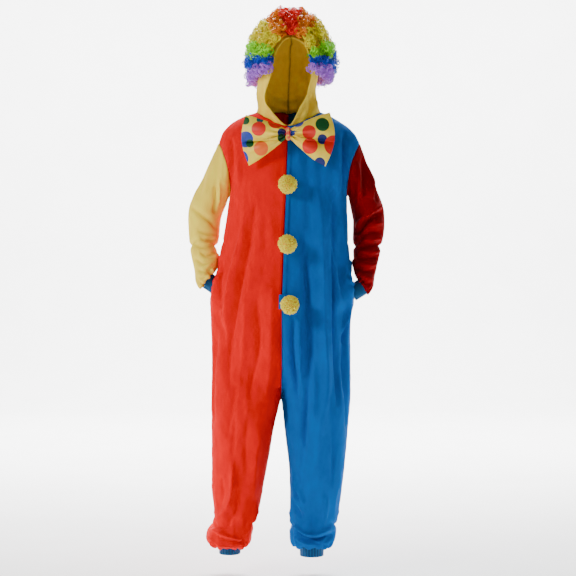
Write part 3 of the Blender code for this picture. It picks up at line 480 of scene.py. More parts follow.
        (0.005, 0.008, 0.008, (-0.040, -0.40), (0.020, -0.43), (0.080, -0.42)),
    ],
}
facing = {"front": (1, -1, 0), "back": (1, 1, 0), "right": (0, -1, 1), "left": (0, 1, 1)}
clothSizes = {
    "foldGain": 2.3,
    "hangDepth": 0.0034,  # slow waves that hang down the cloth
    "lineDepth": 0.0075,  # fine lines that run down the cloth here and there
    "rumpleDepth": 0.0008,  # small rumples
    "seamDepth": 0.0016,  # how far a seam sits in
    "gatherDepth": 0.0060,  # ripples where the ends are gathered into the cuffs
}


def smoothLine(ends, steps=12):
    pts = [np.array(p, float) for p in ends]
    pts = [2 * pts[0] - pts[1]] + pts + [2 * pts[-1] - pts[-2]]
    out = []
    for a, b, c, d in zip(pts, pts[1:], pts[2:], pts[3:]):
        for i in range(steps):
            t = i / steps
            square = (2 * a - 5 * b + 4 * c - d) * t * t
            cube = (3 * b - a - 3 * c + d) * t**3
            out.append(0.5 * (2 * b + (c - a) * t + square + cube))
    out.append(pts[-2])
    return np.array(out)


def foldShape(flat, depth, left, right, ends):
    line = smoothLine(ends)
    widest = max(left, right)
    low, high = line.min(0) - 3 * widest, line.max(0) + 3 * widest
    near = np.where(((flat > low) & (flat < high)).all(1))[0]
    best = np.full(len(near), 1e9)
    side = np.zeros(len(near))
    along = np.zeros(len(near))
    step = np.linalg.norm(np.diff(line, axis=0), axis=1)
    start = np.concatenate([[0], np.cumsum(step)])
    for i in range(len(line) - 1):
        way = (line[i + 1] - line[i]) / max(step[i], 1e-9)
        rel = flat[near] - line[i]
        t = np.clip(rel @ way, 0, step[i])
        off = rel - t[:, None] * way
        dist = np.linalg.norm(off, axis=1)
        closer = dist < best
        best[closer] = dist[closer]
        side[closer] = (way[0] * rel[closer, 1] - way[1] * rel[closer, 0])
        along[closer] = ((start[i] + t) / start[-1])[closer]
    width = np.where(side > 0, left, right)
    fade = np.sin(np.pi * np.clip(along, 0, 1)) ** 0.55
    shape = 0.62 * np.exp(-(best / width) ** 2) + 0.38 * np.exp(-best / (0.62 * width))
    return near, shape * fade * depth


def foldedCloth(co, no):
    inward = np.zeros(len(co))
    for name, found in folds.items():
        axis, sign, flatAxis = facing[name]
        faces = smoothStep(0.12, 0.62, no[:, axis] * sign)
        flat = co[:, [flatAxis, 2]]
        for depth, left, right, *line in found:
            near, amount = foldShape(flat, depth, left, right, line)
            inward[near] += clothSizes["foldGain"] * amount * faces[near]
    # the front lies flat and close under the placket and the bow
    line = np.interp(co[:, 2], [-0.60, -0.42, -0.27, -0.06], [-0.008, -0.003, 0.004, 0.010])
    calm = smoothStep(0.010, 0.034, np.abs(co[:, 0] - line - 0.004))
    onFront = (co[:, 1] < 0) & (co[:, 2] > -0.64) & (co[:, 2] < 0)
    inward[onFront] *= calm[onFront]
    return inward, np.where(onFront, calm, 1.0)


def loosePoints(co, calm):
    waves = np.array([noise.noise(Vector((p[0] * 16, p[1] * 16, p[2] * 4.5))) for p in co])
    rumples = np.array([noise.noise(Vector((p[0] * 60 + 9, p[1] * 60, p[2] * 42))) for p in co])
    lines = np.array([noise.noise(Vector((p[0] * 34 + 4, p[1] * 34, p[2] * 3.4))) for p in co])
    where = np.array([noise.noise(Vector((p[0] * 7 + 2, p[1] * 7, p[2] * 5 + 6))) for p in co])
    ridges = (0.28 - np.abs(lines)) * smoothStep(-0.15, 0.35, where)
    loose = waves * clothSizes["hangDepth"] + rumples * clothSizes["rumpleDepth"]
    return (loose + ridges * clothSizes["lineDepth"]) * (0.3 + 0.7 * calm)


gathers = [  # middle of a gathered end, the way out of it, its reach and its number of ripples
    dict(at=(-0.179, 0.002, -1.398), way=(0, 0, -1), reach=0.030, count=17),
    dict(at=(0.087, 0.002, -1.398), way=(0, 0, -1), reach=0.030, count=16),
    dict(at=(-0.249, -0.004, -0.545), way=(0.81, 0, -0.59), reach=0.026, count=13, puff=0.006),
    dict(at=(0.249, -0.004, -0.565), way=(-0.81, 0, -0.59), reach=0.026, count=13, puff=0.006),
]


def gatherShape(co, row):
    middle, way = np.array(row["at"]), np.array(row["way"])
    rel = co - middle
    along = rel @ way
    across = rel - along[:, None] * way
    side = np.cross(way, (0, 1, 0))
    angle = np.arctan2(across[:, 1], across @ (side / np.linalg.norm(side)))
    near = (np.linalg.norm(across, axis=1) < 0.09) * np.exp(-(along / row["reach"]) ** 2)
    uneven = np.cos(angle * row["count"] + 1.7 * np.sin(3 * angle + row["count"]))
    return near * uneven * (0.6 + 0.4 * np.sin(5 * angle))


def puffShape(co, row):
    rel = co - np.array(row["at"])
    along = rel @ np.array(row["way"])
    off = np.linalg.norm(rel - along[:, None] * np.array(row["way"]), axis=1)
    return (off < 0.09) * row.get("puff", 0) * (
        np.exp(-((along + 0.030) / 0.018) ** 2) - 0.8 * np.exp(-((along - 0.004) / 0.010) ** 2))


inward, calm = foldedCloth(restPoints, restNormals)
materialOf = np.zeros(len(restPoints), int)
for poly in cloth.polygons:
    for i in poly.vertices:
        materialOf[i] = max(materialOf[i], poly.material_index)
isKnit = np.isin(materialOf, [i for i, name in enumerate(pieceNames) if clothPieces[name][0] == "rib"])
for row in gathers:
    inward += clothSizes["gatherDepth"] * gatherShape(restPoints, row) * ~isKnit
    inward -= puffShape(restPoints, row) * ~isKnit
inward -= loosePoints(restPoints, calm)
inward *= np.where(isKnit, 0.15, 1.0)
inward += clothSizes["seamDepth"] * np.exp(-(seamAway / 0.003) ** 2)
isHood = np.isin(materialOf, [i for i, name in enumerate(pieceNames) if name.startswith("hood")])
hem = -0.0022 * np.exp(-((openAway - 0.005) / 0.006) ** 2)  # the turned edge
hem += 0.0016 * np.exp(-((openAway - 0.0135) / 0.0022) ** 2)  # and its stitched line
inward += hem * isHood
setPoints(cloth, restPoints - restNormals * inward[:, None])
print("folds laid", sum(len(rows) for rows in folds.values()))

# painted shade for the seams, read by the fleece materials
seamShadeAttribute = cloth.attributes.new("seamShade", "FLOAT", "POINT")
seamShadeAttribute.data.foreach_set("value", (0.8 * np.exp(-(seamAway / 0.0028) ** 2)).astype(np.float32))


def cutPiece(index, name):
    bm = bmesh.new()
    bm.from_mesh(cloth)
    bmesh.ops.delete(bm, geom=[f for f in bm.faces if f.material_index != index], context="FACES")
    for face in bm.faces:
        face.material_index = 0
    return meshFromBmesh(bm, name)


def ribs(mesh, name, count, depth):
    # grooves that run along a cuff, counted round its own middle
    co, no = points(mesh), normals(mesh)
    middle = co.mean(0)
    spread = np.linalg.svd(co - middle, full_matrices=False)[2]
    way = spread[np.argmin(np.abs(spread @ np.array((0, 1, 0))))]
    if name.startswith("ankle"):
        way = np.array((0, 0, 1.0))
    rel = co - middle
    side = np.cross(way, (0, 1, 0))
    side /= np.linalg.norm(side)
    angle = np.arctan2(rel[:, 1], rel @ side)
    top = 0.5 + 0.5 * np.cos(angle * count)
    setPoints(mesh, co - no * ((1 - top) * depth)[:, None])
    # the rib attribute darkens the knit in the grooves and lightens the tops: painted shade and light
    attribute = mesh.attributes.new("rib", "FLOAT", "POINT")
    attribute.data.foreach_set("value", top.astype(np.float32))


for index, name in enumerate(pieceNames):
    colour, wall = clothPieces[name]
    mesh = cutPiece(index, name + "_cloth")
    if colour == "rib":
        ribs(mesh, name, 34 if name.startswith("wrist") else 30, 0.0012)
    obj = addObject(name + "_cloth", mesh, ribBlue if colour == "rib" else fleece[colour])
    shell = obj.modifiers.new("wall", "SOLIDIFY")
    shell.thickness = wall
    shell.offset = -1
    shell.use_even_offset = False
    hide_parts(name)
    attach(obj, "root")
bpy.data.meshes.remove(cloth)
print("cloth pieces cut")


# many small things: one template laid many times into one mesh

def laidMesh(name, template, frames, tones, along=1.0):
    # frames: (count, 3, 4) rows of turn, size and place; tones: one value for each copy
    # along: how the tone fades over the template's own points, painted shade down the pompoms' tufts
    verts, faces = template
    count, size = len(frames), len(verts)
    co = np.einsum("nij,vj->nvi", frames[:, :, :3], verts) + frames[:, None, :, 3]
    loops = (faces[None, :, :] + (np.arange(count) * size)[:, None, None]).reshape(-1, faces.shape[1])
    mesh = bpy.data.meshes.new(name)
    mesh.vertices.add(count * size)
    mesh.vertices.foreach_set("co", co.astype(np.float32).ravel())
    mesh.loops.add(loops.size)
    mesh.loops.foreach_set("vertex_index", loops.astype(np.int32).ravel())
    mesh.polygons.add(len(loops))
    mesh.polygons.foreach_set("loop_start", np.arange(0, loops.size, faces.shape[1], dtype=np.int32))
    mesh.update()
    tone = mesh.attributes.new("tone", "FLOAT", "POINT")
    spread = tones[:, None] * (np.zeros(size) + along)[None, :]
    tone.data.foreach_set("value", spread.astype(np.float32).ravel())
    return mesh


def asTemplate(bm):
    bmesh.ops.triangulate(bm, faces=bm.faces[:])
    bm.verts.index_update()
    verts = np.array([v.co for v in bm.verts])
    faces = np.array([[v.index for v in f.verts] for f in bm.faces])
    bm.free()
    return verts, faces


def joined(meshes, name):
    bm = bmesh.new()
    for mesh in meshes:
        bm.from_mesh(mesh)
        bpy.data.meshes.remove(mesh)
    return meshFromBmesh(bm, name)


def turnedFrames(ways, places, sizes, rng):
    # frames whose third axis points along each way, with a random turn about it
    ways = ways / np.linalg.norm(ways, axis=1)[:, None]
    spin = rng.normal(size=ways.shape)
    first = np.cross(ways, spin)
    first /= np.linalg.norm(first, axis=1)[:, None]
    second = np.cross(ways, first)
    turn = np.stack([first, second, ways], axis=2) * sizes[:, None, None]
    return np.concatenate([turn, places[:, :, None]], axis=2)


# curls

curlSizes = {
    "centre": (0.018, 0.005, 0.150), "root": (0.119, 0.132, 0.162), "tip": (0.146, 0.158, 0.188),
    "perSquareMetre": 19500, "seed": 11,
}
curlBands = {  # from the top and to, in degrees, how far it comes round to the face, and its colour
    "red": (0, 14, 59, (0.95, 0.012, 0.006)),
    "orange": (14, 34, 60, (1.0, 0.22, 0.004)),
    "yellow": (34, 65, 60, (1.0, 0.66, 0.010)),
    "green": (65, 80, 60, (0.26, 0.78, 0.008)),
    "blue": (80, 93, 61, (0.004, 0.055, 0.50)),
    "purple": (93, 105, 62, (0.42, 0.15, 0.70)),
}
ringlets = [  # turns, radius of the helix, rise, thickness of the strand
    (1.40, 0.0086, 0.0070, 0.00150),
    (1.75, 0.0074, 0.0120, 0.00145),
    (2.30, 0.0060, 0.0200, 0.00130),
    (1.10, 0.0098, 0.0050, 0.00140),
    (1.60, 0.0080, 0.0150, 0.00110),
]


def ringletTemplate(turns, radius, rise, strand):
    bm = bmesh.new()
    steps = max(9, round(turns * 10))
    profile = Matrix.Translation((radius, 0, -rise / 2)) @ Matrix.Rotation(math.pi / 2, 4, "X")
    bmesh.ops.create_circle(bm, segments=3, radius=strand, matrix=profile)
    ends = bm.verts[:] + bm.edges[:]
    bmesh.ops.spin(bm, geom=ends, cent=(0, 0, 0), axis=(0, 0, 1), dvec=(0, 0, rise / steps),
                   angle=turns * 2 * math.pi, steps=steps, use_merge=False)
    bmesh.ops.recalc_face_normals(bm, faces=bm.faces[:])
    verts, faces = asTemplate(bm)
    along = verts[:, 2] / rise + 0.5
    swell = 0.62 + 0.42 * np.sin(np.pi * np.clip(along, 0.02, 0.98)) + 0.12 * np.sin(along * 9)
    verts[:, :2] *= swell[:, None]
    return verts, faces


def curlPlaces(fromTop, face, place, radii):
    a, face = np.radians(fromTop), np.radians(face)
    wide = np.sin(np.minimum(a, math.pi / 2))
    wide = wide * (1 - 0.006 * np.maximum(0, fromTop - 88))
    front = (place < 1) | (place > 2)
    way = np.where(place < 1.5, -1, 1)
    turn = np.where(front, face * np.where(place < 1.5, 1 - place, place - 2), math.pi * (place - 1))
    out = np.stack([
        np.where(front, way * wide * np.cos(turn), -wide * np.cos(turn)),
        np.where(front, -np.sin(turn), wide * np.sin(turn)),
        np.where(front, np.cos(a) * np.cos(turn), np.cos(a))], axis=1)
    return np.array(curlSizes["centre"]) + out * radii, out


def sampledPlaces(low, high, face, rng):
    # spots spread evenly over a band, whatever the shape of its own grid
    if low == 0:
        turn = np.linspace(-math.asin(0.9 * math.sin(math.radians(high))), math.radians(face), 40)
        half = np.linspace(-1, 1, 14) * math.radians(high)
        turns, halves = np.meshgrid(turn, half, indexing="ij")
        level = np.cos(turns)
        out = np.stack([np.sin(halves) * level, -np.sin(turns), np.cos(halves) * level], axis=2)
    else:
        a, place = np.meshgrid(np.linspace(low, high, 14), np.linspace(0, 3, 120), indexing="ij")
        wavy = np.array([noise.noise(Vector((t * 2.6, 0, 5))) for t in place.ravel()]).reshape(a.shape)
        other = np.array([noise.noise(Vector((t * 2.6, 9, 5))) for t in place.ravel()]).reshape(a.shape)
        a = a + 9 * np.where(low % 2 == 0, wavy, other) * (high - a) / (high - low) * (low > 14)
        a = a + 9 * np.where(high % 2 == 0, wavy, other) * (a - low) / (high - low) * (high < 105)
        out = curlPlaces(a.ravel(), face, place.ravel(), np.ones(3))[1].reshape(14, 120, 3)
    at = out * curlSizes["tip"]
    along, across = at[1:, :-1] - at[:-1, :-1], at[:-1, 1:] - at[:-1, :-1]
    area = np.linalg.norm(np.cross(along, across), axis=2)
    count = int(area.sum() * curlSizes["perSquareMetre"])
    cell = rng.choice(area.size, count, p=(area / area.sum()).ravel())
    i, j = np.unravel_index(cell, area.shape)
    u, v = rng.random((2, count, 1))
    return (out[i, j] * (1 - u) * (1 - v) + out[i + 1, j] * u * (1 - v)
            + out[i, j + 1] * (1 - u) * v + out[i + 1, j + 1] * u * v)


def curlMaterial(name, colour):
    mat, nodes, links, shader = newMaterial(name, 0.42, {"Specular IOR Level": 0.30})
    coords = objectCoords(nodes)
    fibre = noiseNode(nodes, links, coords, 900, 2)
    # the tone attribute holds painted shade as well as random tone
    tone = addedNode(nodes, links, fibre, 0.35, attributeNode(nodes, "tone"))
    colours = rampNode(nodes, links, tone, [
        (0.05, shade(colour, 0.38)), (0.42, shade(colour, 0.92)), (0.95, shade(colour, 1.40))])
    links.new(colours, shader.inputs["Base Color"])
    links.new(bumpNode(nodes, links, fibre, 0.5, 0.0004), shader.inputs["Normal"])
    return mat


def curlBase(node):
    # a lumpy mass under the ringlets, so that nothing of the hood shows between them; it is dark, as painted
    # shade in the gaps
    bm = weldedNode(node)
    joinTriangles(bm)
    mesh = subdividedMesh(bm, 2)
    co = points(mesh)
    rel = co - curlSizes["centre"]
    reach = np.linalg.norm(rel / curlSizes["tip"], axis=1)
    root = 0.835
    lumps = np.array([noise.noise(Vector(p * 70)) for p in co])
    wanted = root + (reach - root) * (0.38 + 0.35 * lumps)
    co = np.array(curlSizes["centre"]) + rel * (np.where(reach > root, wanted, reach) / reach)[:, None]
    setPoints(mesh, co)
    # a low tone: painted shade down between the ringlets
    tone = mesh.attributes.new("tone", "FLOAT", "POINT")
    tone.data.foreach_set("value", (0.08 + 0.2 * lumps).astype(np.float32))
    return mesh


def curlBand(name, templates, rng):
    low, high, face, colour = curlBands[name]
    out = sampledPlaces(low, high, face, rng)
    count = len(out)
    deep = rng.random(count) ** 0.7
    root, tip = np.array(curlSizes["root"]), np.array(curlSizes["tip"])
    at = np.array(curlSizes["centre"]) + out * (root + (tip - root) * (0.30 + 0.72 * deep)[:, None])
    at += rng.normal(size=at.shape) * 0.0022
    ways = out * 0.75 + rng.normal(size=at.shape) * 0.75 + np.array((0, 0, -0.25))
    lumps = np.array([noise.noise(Vector(p * 26)) for p in at])
    at += out * (lumps * 0.011)[:, None]
    sizes = 0.80 + 0.60 * rng.random(count)
    frames = turnedFrames(ways, at, sizes, rng)
    # painted shade: ringlets nearer the root and down between the lumps are darker, those out on the lumps
    # lighter; the rest is random tone
    tones = 0.20 + 0.50 * deep + 0.22 * rng.random(count) + 0.5 * lumps
    kind = rng.integers(0, len(templates), count)
    meshes = [laidMesh(name, template, frames[kind == k], tones[kind == k])
              for k, template in enumerate(templates)]
    meshes.append(curlBase("curls_" + name))
    mesh = joined(meshes, "ringlets_" + name)
    obj = addObject("ringlets_" + name, mesh, curlMaterial("curl_" + name, colour))
    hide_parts("curls_" + name)
    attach(obj, "root")
    print("ringlets", name, count, "triangles", sum(len(p.vertices) - 2 for p in mesh.polygons))


templates = [ringletTemplate(*row) for row in ringlets]
curlRng = np.random.default_rng(curlSizes["seed"])
for bandName in curlBands:
    curlBand(bandName, templates, curlRng)


# pompoms: balls of cut yarn on the flat back that they are sewn on by

pompomSizes = {"radius": 0.0295, "core": 0.0225, "flat": 0.0215, "tufts": 560, "seed": 5}


def yarnMaterial():
    mat, nodes, links, shader = newMaterial("pompomYarn", 0.9, {"Sheen Weight": 0.2})
    twist = noiseNode(nodes, links, objectCoords(nodes), 1300, 2)
    # the dark end of the ramp is painted shade down between the tufts; the rest is random tone
    colours = rampNode(nodes, links, attributeNode(nodes, "tone"), [
        (0.0, (1.0, 0.60, 0.02)), (0.4, (1.0, 0.82, 0.025)), (0.9, (1.0, 0.92, 0.06))])
    links.new(colours, shader.inputs["Base Color"])
    links.new(bumpNode(nodes, links, twist, 0.5, 0.0005), shader.inputs["Normal"])
    return mat


def tuftTemplate():
    # a strand end, wider and blunt at its tip, slightly bent
    bm = bmesh.new()
    bmesh.ops.create_cone(bm, cap_ends=True, segments=5, radius1=0.0009, radius2=0.0018, depth=0.012)
    sides = [e for e in bm.edges if abs(e.verts[0].co.z - e.verts[1].co.z) > 0.005]
    bmesh.ops.subdivide_edges(bm, edges=sides, cuts=1)
    tip = [v for v in bm.verts if v.co.z > 0.005]
    bmesh.ops.translate(bm, verts=tip, vec=(0.0012, 0, 0))
    return asTemplate(bm)


def yarnBall(node, rng):
    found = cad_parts[node]
    box = [found.matrix_world @ v.co for v in found.data.vertices]
    low = np.array([min(p[i] for p in box) for i in range(3)])
    high = np.array([max(p[i] for p in box) for i in range(3)])
    middle = np.array(((low[0] + high[0]) / 2, low[1] + 0.030, (low[2] + high[2]) / 2))
    core = bmesh.new()
    bmesh.ops.create_uvsphere(core, u_segments=24, v_segments=16, radius=pompomSizes["core"])
    for vert in core.verts:
        vert.co.y = min(vert.co.y, pompomSizes["flat"] - 0.001)
    bmesh.ops.translate(core, verts=core.verts, vec=middle)
    coreMesh = meshFromBmesh(core, "core")
    # tone 0 gives the core the darkest yarn colour: painted shade between the tufts
    coreMesh.attributes.new("tone", "FLOAT", "POINT")
    count = pompomSizes["tufts"]
    steps = np.arange(count) + 0.5
    up, turn = np.arccos(1 - 2 * steps / count), math.pi * (1 + 5**0.5) * steps
    out = np.stack([np.cos(turn) * np.sin(up), np.sin(turn) * np.sin(up), np.cos(up)], axis=1)
    out += rng.normal(size=out.shape) * 0.06
    out /= np.linalg.norm(out, axis=1)[:, None]
    reach = pompomSizes["radius"] - 0.006 + rng.normal(size=count) * 0.0011
    at = middle + out * reach[:, None]
    keep = at[:, 1] < middle[1] + pompomSizes["flat"] - 0.005
    ways = out + rng.normal(size=out.shape) * 0.30
    frames = turnedFrames(ways, at, 0.85 + 0.3 * rng.random(count), rng)
    tones = 0.35 + 0.6 * rng.random(count)
    tuft = tuftTemplate()
    lit = 0.1 + 0.9 * smoothStep(-0.004, 0.0058, tuft[0][:, 2])  # painted shade: darker down between the tufts
    tufts = laidMesh(node, tuft, frames[keep], tones[keep], lit)
    mesh = joined([coreMesh, tufts], node + "_yarn")
    obj = addObject(node + "_yarn", mesh, yarn)
    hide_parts(node)
    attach(obj, "root")


yarn = yarnMaterial()
ballRng = np.random.default_rng(pompomSizes["seed"])
for ballName in ("pompom_top", "pompom_middle", "pompom_bottom"):
    yarnBall(ballName, ballRng)
print("pompoms made")


# bow: doubled satin with big dots, gathered under the knot

satinWall = 0.003
bowKnot = {"x": 0.010, "z": -0.081}
bowPleats = {  # angle from the wing's own direction, spread, height and reach of each pleat
    "bow_wing_right": [
        (26, 6, 0.005, 0.060), (12, 5, -0.004, 0.052), (2, 5, 0.006, 0.085), (-9, 4, -0.006, 0.115),
        (-20, 5, 0.005, 0.080), (-33, 5, -0.004, 0.050), (-46, 6, 0.004, 0.050)],
    "bow_wing_left": [
        (30, 6, 0.005, 0.062), (17, 5, -0.005, 0.060), (6, 5, 0.006, 0.090), (-5, 4, -0.006, 0.120),
        (-16, 5, 0.005, 0.070), (-30, 5, -0.005, 0.055), (-44, 6, 0.004, 0.055)],
}
bowCreases = {  # height of the fold across each wing, from the knot to the outer edge
    "bow_wing_right": (-0.083, -0.092, -0.0995, -0.1010),
    "bow_wing_left": (-0.083, -0.0935, -0.0995, -0.1005),
}
bowDots = [  # x, z, radius and colour of each dot
    (-0.124, -0.039, 0.0132, "green"), (-0.078, -0.036, 0.0113, "teal"),
    (-0.082, -0.066, 0.0229, "red"), (-0.029, -0.042, 0.0242, "red"),
    (-0.124, -0.098, 0.0251, "blue"), (-0.110, -0.111, 0.0126, "green"),
    (-0.075, -0.127, 0.0229, "salmon"), (-0.142, -0.158, 0.0276, "blue"),
    (-0.009, -0.079, 0.0141, "navy"), (-0.010, -0.095, 0.0126, "green"),
    (0.040, -0.041, 0.0198, "blue"), (0.118, -0.052, 0.0220, "green"),
    (0.076, -0.077, 0.0217, "red"), (0.024, -0.081, 0.0079, "blue"),
    (0.079, -0.120, 0.0248, "red"), (0.118, -0.098, 0.0157, "navy"),
    (0.155, -0.116, 0.0314, "red"), (0.110, -0.172, 0.0176, "navy"),
]
dotColours = {
    "red": (0.78, 0.022, 0.010), "salmon": (0.95, 0.15, 0.015), "green": (0.004, 0.085, 0.016),
    "teal": (0.006, 0.11, 0.09), "blue": (0.022, 0.050, 0.36), "navy": (0.012, 0.020, 0.16),
}


def satinMaterial():
    mat, nodes, links, shader = newMaterial("dottedSatin", 0.42, {"Specular IOR Level": 0.30})
    coords = objectCoords(nodes)
    weave = noiseNode(nodes, links, coords, 1800, 1, (1, 1, 0.3))
    soft = noiseNode(nodes, links, coords, 60, 2)
    colour = rampNode(nodes, links, soft, [(0.3, (1.0, 0.66, 0.03)), (0.7, (1.0, 0.78, 0.07))])
    parts = nodes.new("ShaderNodeSeparateXYZ")
    links.new(coords, parts.inputs["Vector"])
    flat = nodes.new("ShaderNodeCombineXYZ")
    links.new(parts.outputs["X"], flat.inputs["X"])
    links.new(parts.outputs["Z"], flat.inputs["Z"])
    for x, z, radius, name in bowDots:
        away = nodes.new("ShaderNodeVectorMath")
        away.operation = "DISTANCE"
        links.new(flat.outputs["Vector"], away.inputs[0])
        away.inputs[1].default_value = (x, 0, z)
        inside = nodes.new("ShaderNodeMapRange")
        links.new(away.outputs["Value"], inside.inputs["Value"])
        inside.inputs["From Min"].default_value = radius
        inside.inputs["From Max"].default_value = radius - 0.0006
        colour = mixNode(nodes, links, inside.outputs["Result"], colour, dotColours[name])
    # painted shadow down in the fold across each wing
    deep = mixNode(nodes, links, attributeNode(nodes, "foldShadow"), colour, (0.03, 0.012, 0.004))
    links.new(deep, shader.inputs["Base Color"])
    links.new(bumpNode(nodes, links, weave, 0.15, 0.0003), shader.inputs["Normal"])
    return mat


def bowWing(node, satin):
    bm = outerSide(node, satinWall, (0, -1, 0))
    mesh = subdividedMesh(bm, 4, corners="PRESERVE_CORNERS")
    co, no = points(mesh), normals(mesh)
    side = np.sign(co[:, 0].mean() - bowKnot["x"])
    across, up = (co[:, 0] - bowKnot["x"]) * side, co[:, 2] - bowKnot["z"]
    reach = np.hypot(across, up)
    angle = np.degrees(np.arctan2(up, np.maximum(across, 1e-4)))
    raised = np.zeros(len(co))
    for at, spread, height, far in bowPleats[node]:
        raised += height * np.exp(-((angle - at) / spread) ** 2) * np.exp(-(reach / far) ** 2)
    raised *= smoothStep(0.004, 0.020, reach)
    crease = np.interp(across, (0.0, 0.030, 0.070, 0.150), bowCreases[node])
    above = co[:, 2] - crease
    lap = np.where(above > 0, 0.0140 * np.exp(-above / 0.022), -0.0120 * np.exp(above / 0.020))
    lap *= (1 - np.exp(-(above / 0.0022) ** 2)) * smoothStep(0.004, 0.030, across)
    raised += lap
    ripple = np.array([noise.noise(Vector((p[0] * 30, 3.0, p[2] * 34))) for p in co])
    raised += 0.0016 * ripple * smoothStep(0.03, 0.10, across)
    fall = -0.0085 * np.exp(-(above / 0.013) ** 2)
    lift = 0.0030 * np.exp(-(above / 0.008) ** 2)
    drop = np.where(above > 0, fall, lift)
    drop *= smoothStep(0.006, 0.045, across) * (1 - np.exp(-(above / 0.0020) ** 2))
    co[:, 2] += drop
    setPoints(mesh, co + np.array((0, -1, 0)) * raised[:, None])
    foldShadow = mesh.attributes.new("foldShadow", "FLOAT", "POINT")  # painted shadow, 1 down in the fold
    foldShadowMask = np.exp(-((above + 0.0012) / 0.0026) ** 2) * smoothStep(0.002, 0.02, across)
    foldShadow.data.foreach_set("value", (0.75 * foldShadowMask * (1 - smoothStep(0.10, 0.15, across))).astype(np.float32))
    obj = addObject(node + "_satin", mesh, satin)
    wall = obj.modifiers.new("wall", "SOLIDIFY")
    wall.thickness = satinWall
    wall.offset = -1
    hem = obj.modifiers.new("hem", "BEVEL")
    hem.width = 0.0009
    hem.segments = 2
    hem.limit_method = "ANGLE"
    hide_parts(node)
    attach(obj, "root")


dottedSatin = satinMaterial()
for wingName in bowPleats:
    bowWing(wingName, dottedSatin)


def bowBand():
    bm = weldedNode("bow_knot")
    bmesh.ops.dissolve_limit(bm, angle_limit=math.radians(2), verts=bm.verts[:], edges=bm.edges[:])
    joinTriangles(bm)
    mesh = subdividedMesh(bm, 3)
    co, no = points(mesh), normals(mesh)
    angle = np.arctan2(co[:, 1] + 0.151, co[:, 0] - bowKnot["x"])
    wrinkles = 0.0009 * np.cos(angle * 7 + co[:, 2] * 60) + 0.0006 * np.cos(angle * 13)
    setPoints(mesh, co + no * wrinkles[:, None])
    mat, nodes, links, shader = newMaterial("knotSatin", 0.36, {"Specular IOR Level": 0.5})
    coords = objectCoords(nodes)
    soft = noiseNode(nodes, links, coords, 90, 2)
    links.new(rampNode(nodes, links, soft, [
        (0.40, (0.82, 0.05, 0.035)), (0.54, (0.88, 0.10, 0.055)), (0.60, (0.88, 0.55, 0.05))]),
        shader.inputs["Base Color"])
    weave = noiseNode(nodes, links, coords, 1800, 1, (1, 1, 0.3))
    links.new(bumpNode(nodes, links, weave, 0.15, 0.0003), shader.inputs["Normal"])
    obj = addObject("bow_knot_satin", mesh, mat)
    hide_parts("bow_knot")
    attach(obj, "root")


bowBand()
print("bow made")


# placket, its tab and the stitches

def strip(node):
    bm = weldedNode(node)
    bmesh.ops.dissolve_limit(bm, angle_limit=math.radians(0.5), verts=bm.verts[:], edges=bm.edges[:])
    sharp = [e for e in bm.edges if e.calc_face_angle(0) > 0.6]
    bmesh.ops.bevel(bm, geom=sharp, offset=0.0005, offset_type="OFFSET", segments=2, profile=0.5,
                    affect="EDGES", material=-1)
    obj = addObject(node + "_cloth", meshFromBmesh(bm, node + "_cloth"), fleece["blue"])
    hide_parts(node)
    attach(obj, "root")


def stitchTemplate():
    bm = bmesh.new()
    bmesh.ops.create_cube(bm, size=1, matrix=Matrix.Diagonal((0.0007, 0.0007, 0.0032, 1)))
    bmesh.ops.bevel(bm, geom=bm.edges[:], offset=0.0002, offset_type="OFFSET", segments=1, profile=0.5,
                    affect="EDGES", material=-1)
    return asTemplate(bm)


def stitchRun(name, colour, runs, pitch=0.0046):
    # runs: points (x, z) on the front; the stitches lie on the fronts and placket, under the bow and pompoms
    graph = bpy.context.evaluated_depsgraph_get()
    sewn = [bpy.data.objects[n + "_cloth"].evaluated_get(graph)
            for n in ("front_right", "front_left", "placket", "placket_tab")]
    places, ways = [], []
    for run in runs:
        run = [np.array(p, float) for p in run]
        for a, b in zip(run, run[1:]):
            steps = max(1, int(np.linalg.norm(b - a) / pitch))
            for i in range(steps):
                at = a + (b - a) * (i + 0.5) / steps
                hits = [obj.ray_cast((at[0], -0.5, at[1]), (0, 1, 0)) for obj in sewn]
                hits = [(spot, normal) for hit, spot, normal, face in hits if hit]
                if hits:
                    spot, normal = min(hits, key=lambda found: found[0].y)
                    places.append(spot + normal * 0.0001)
                    ways.append((b[0] - a[0], 0, b[1] - a[1]))
    frames = turnedFrames(np.array(ways), np.array(places), np.ones(len(places)), np.random.default_rng(3))
    mesh = laidMesh(name, stitchTemplate(), frames, np.zeros(len(places)))
    mat, nodes, links, shader = newMaterial(name, 0.7)
    coords = objectCoords(nodes)
    twist = noiseNode(nodes, links, coords, 2500, 1)
    thread = rampNode(nodes, links, twist, [(0.3, shade(colour, 0.7)), (0.7, colour)])
    links.new(thread, shader.inputs["Base Color"])
    obj = addObject(name, mesh, mat)
    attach(obj, "root")


strip("placket")
strip("placket_tab")


def beside(shift, low=-0.575, high=-0.11, rows=12):
    heights = np.linspace(high, low, rows)
    middle = np.interp(heights, [-0.60, -0.42, -0.27, -0.06], [-0.008, -0.003, 0.004, 0.010])
    return [(x + shift, z) for x, z in zip(middle, heights)]


stitchRun("stitches_blue", (0.0, 0.09, 0.30), [beside(0.0102), beside(0.0018)])
stitchRun("stitches_red", (0.42, 0.0, 0.0), [beside(-0.0085)])


# pocket bags, plain cloth out of sight

bagWall = 0.0015


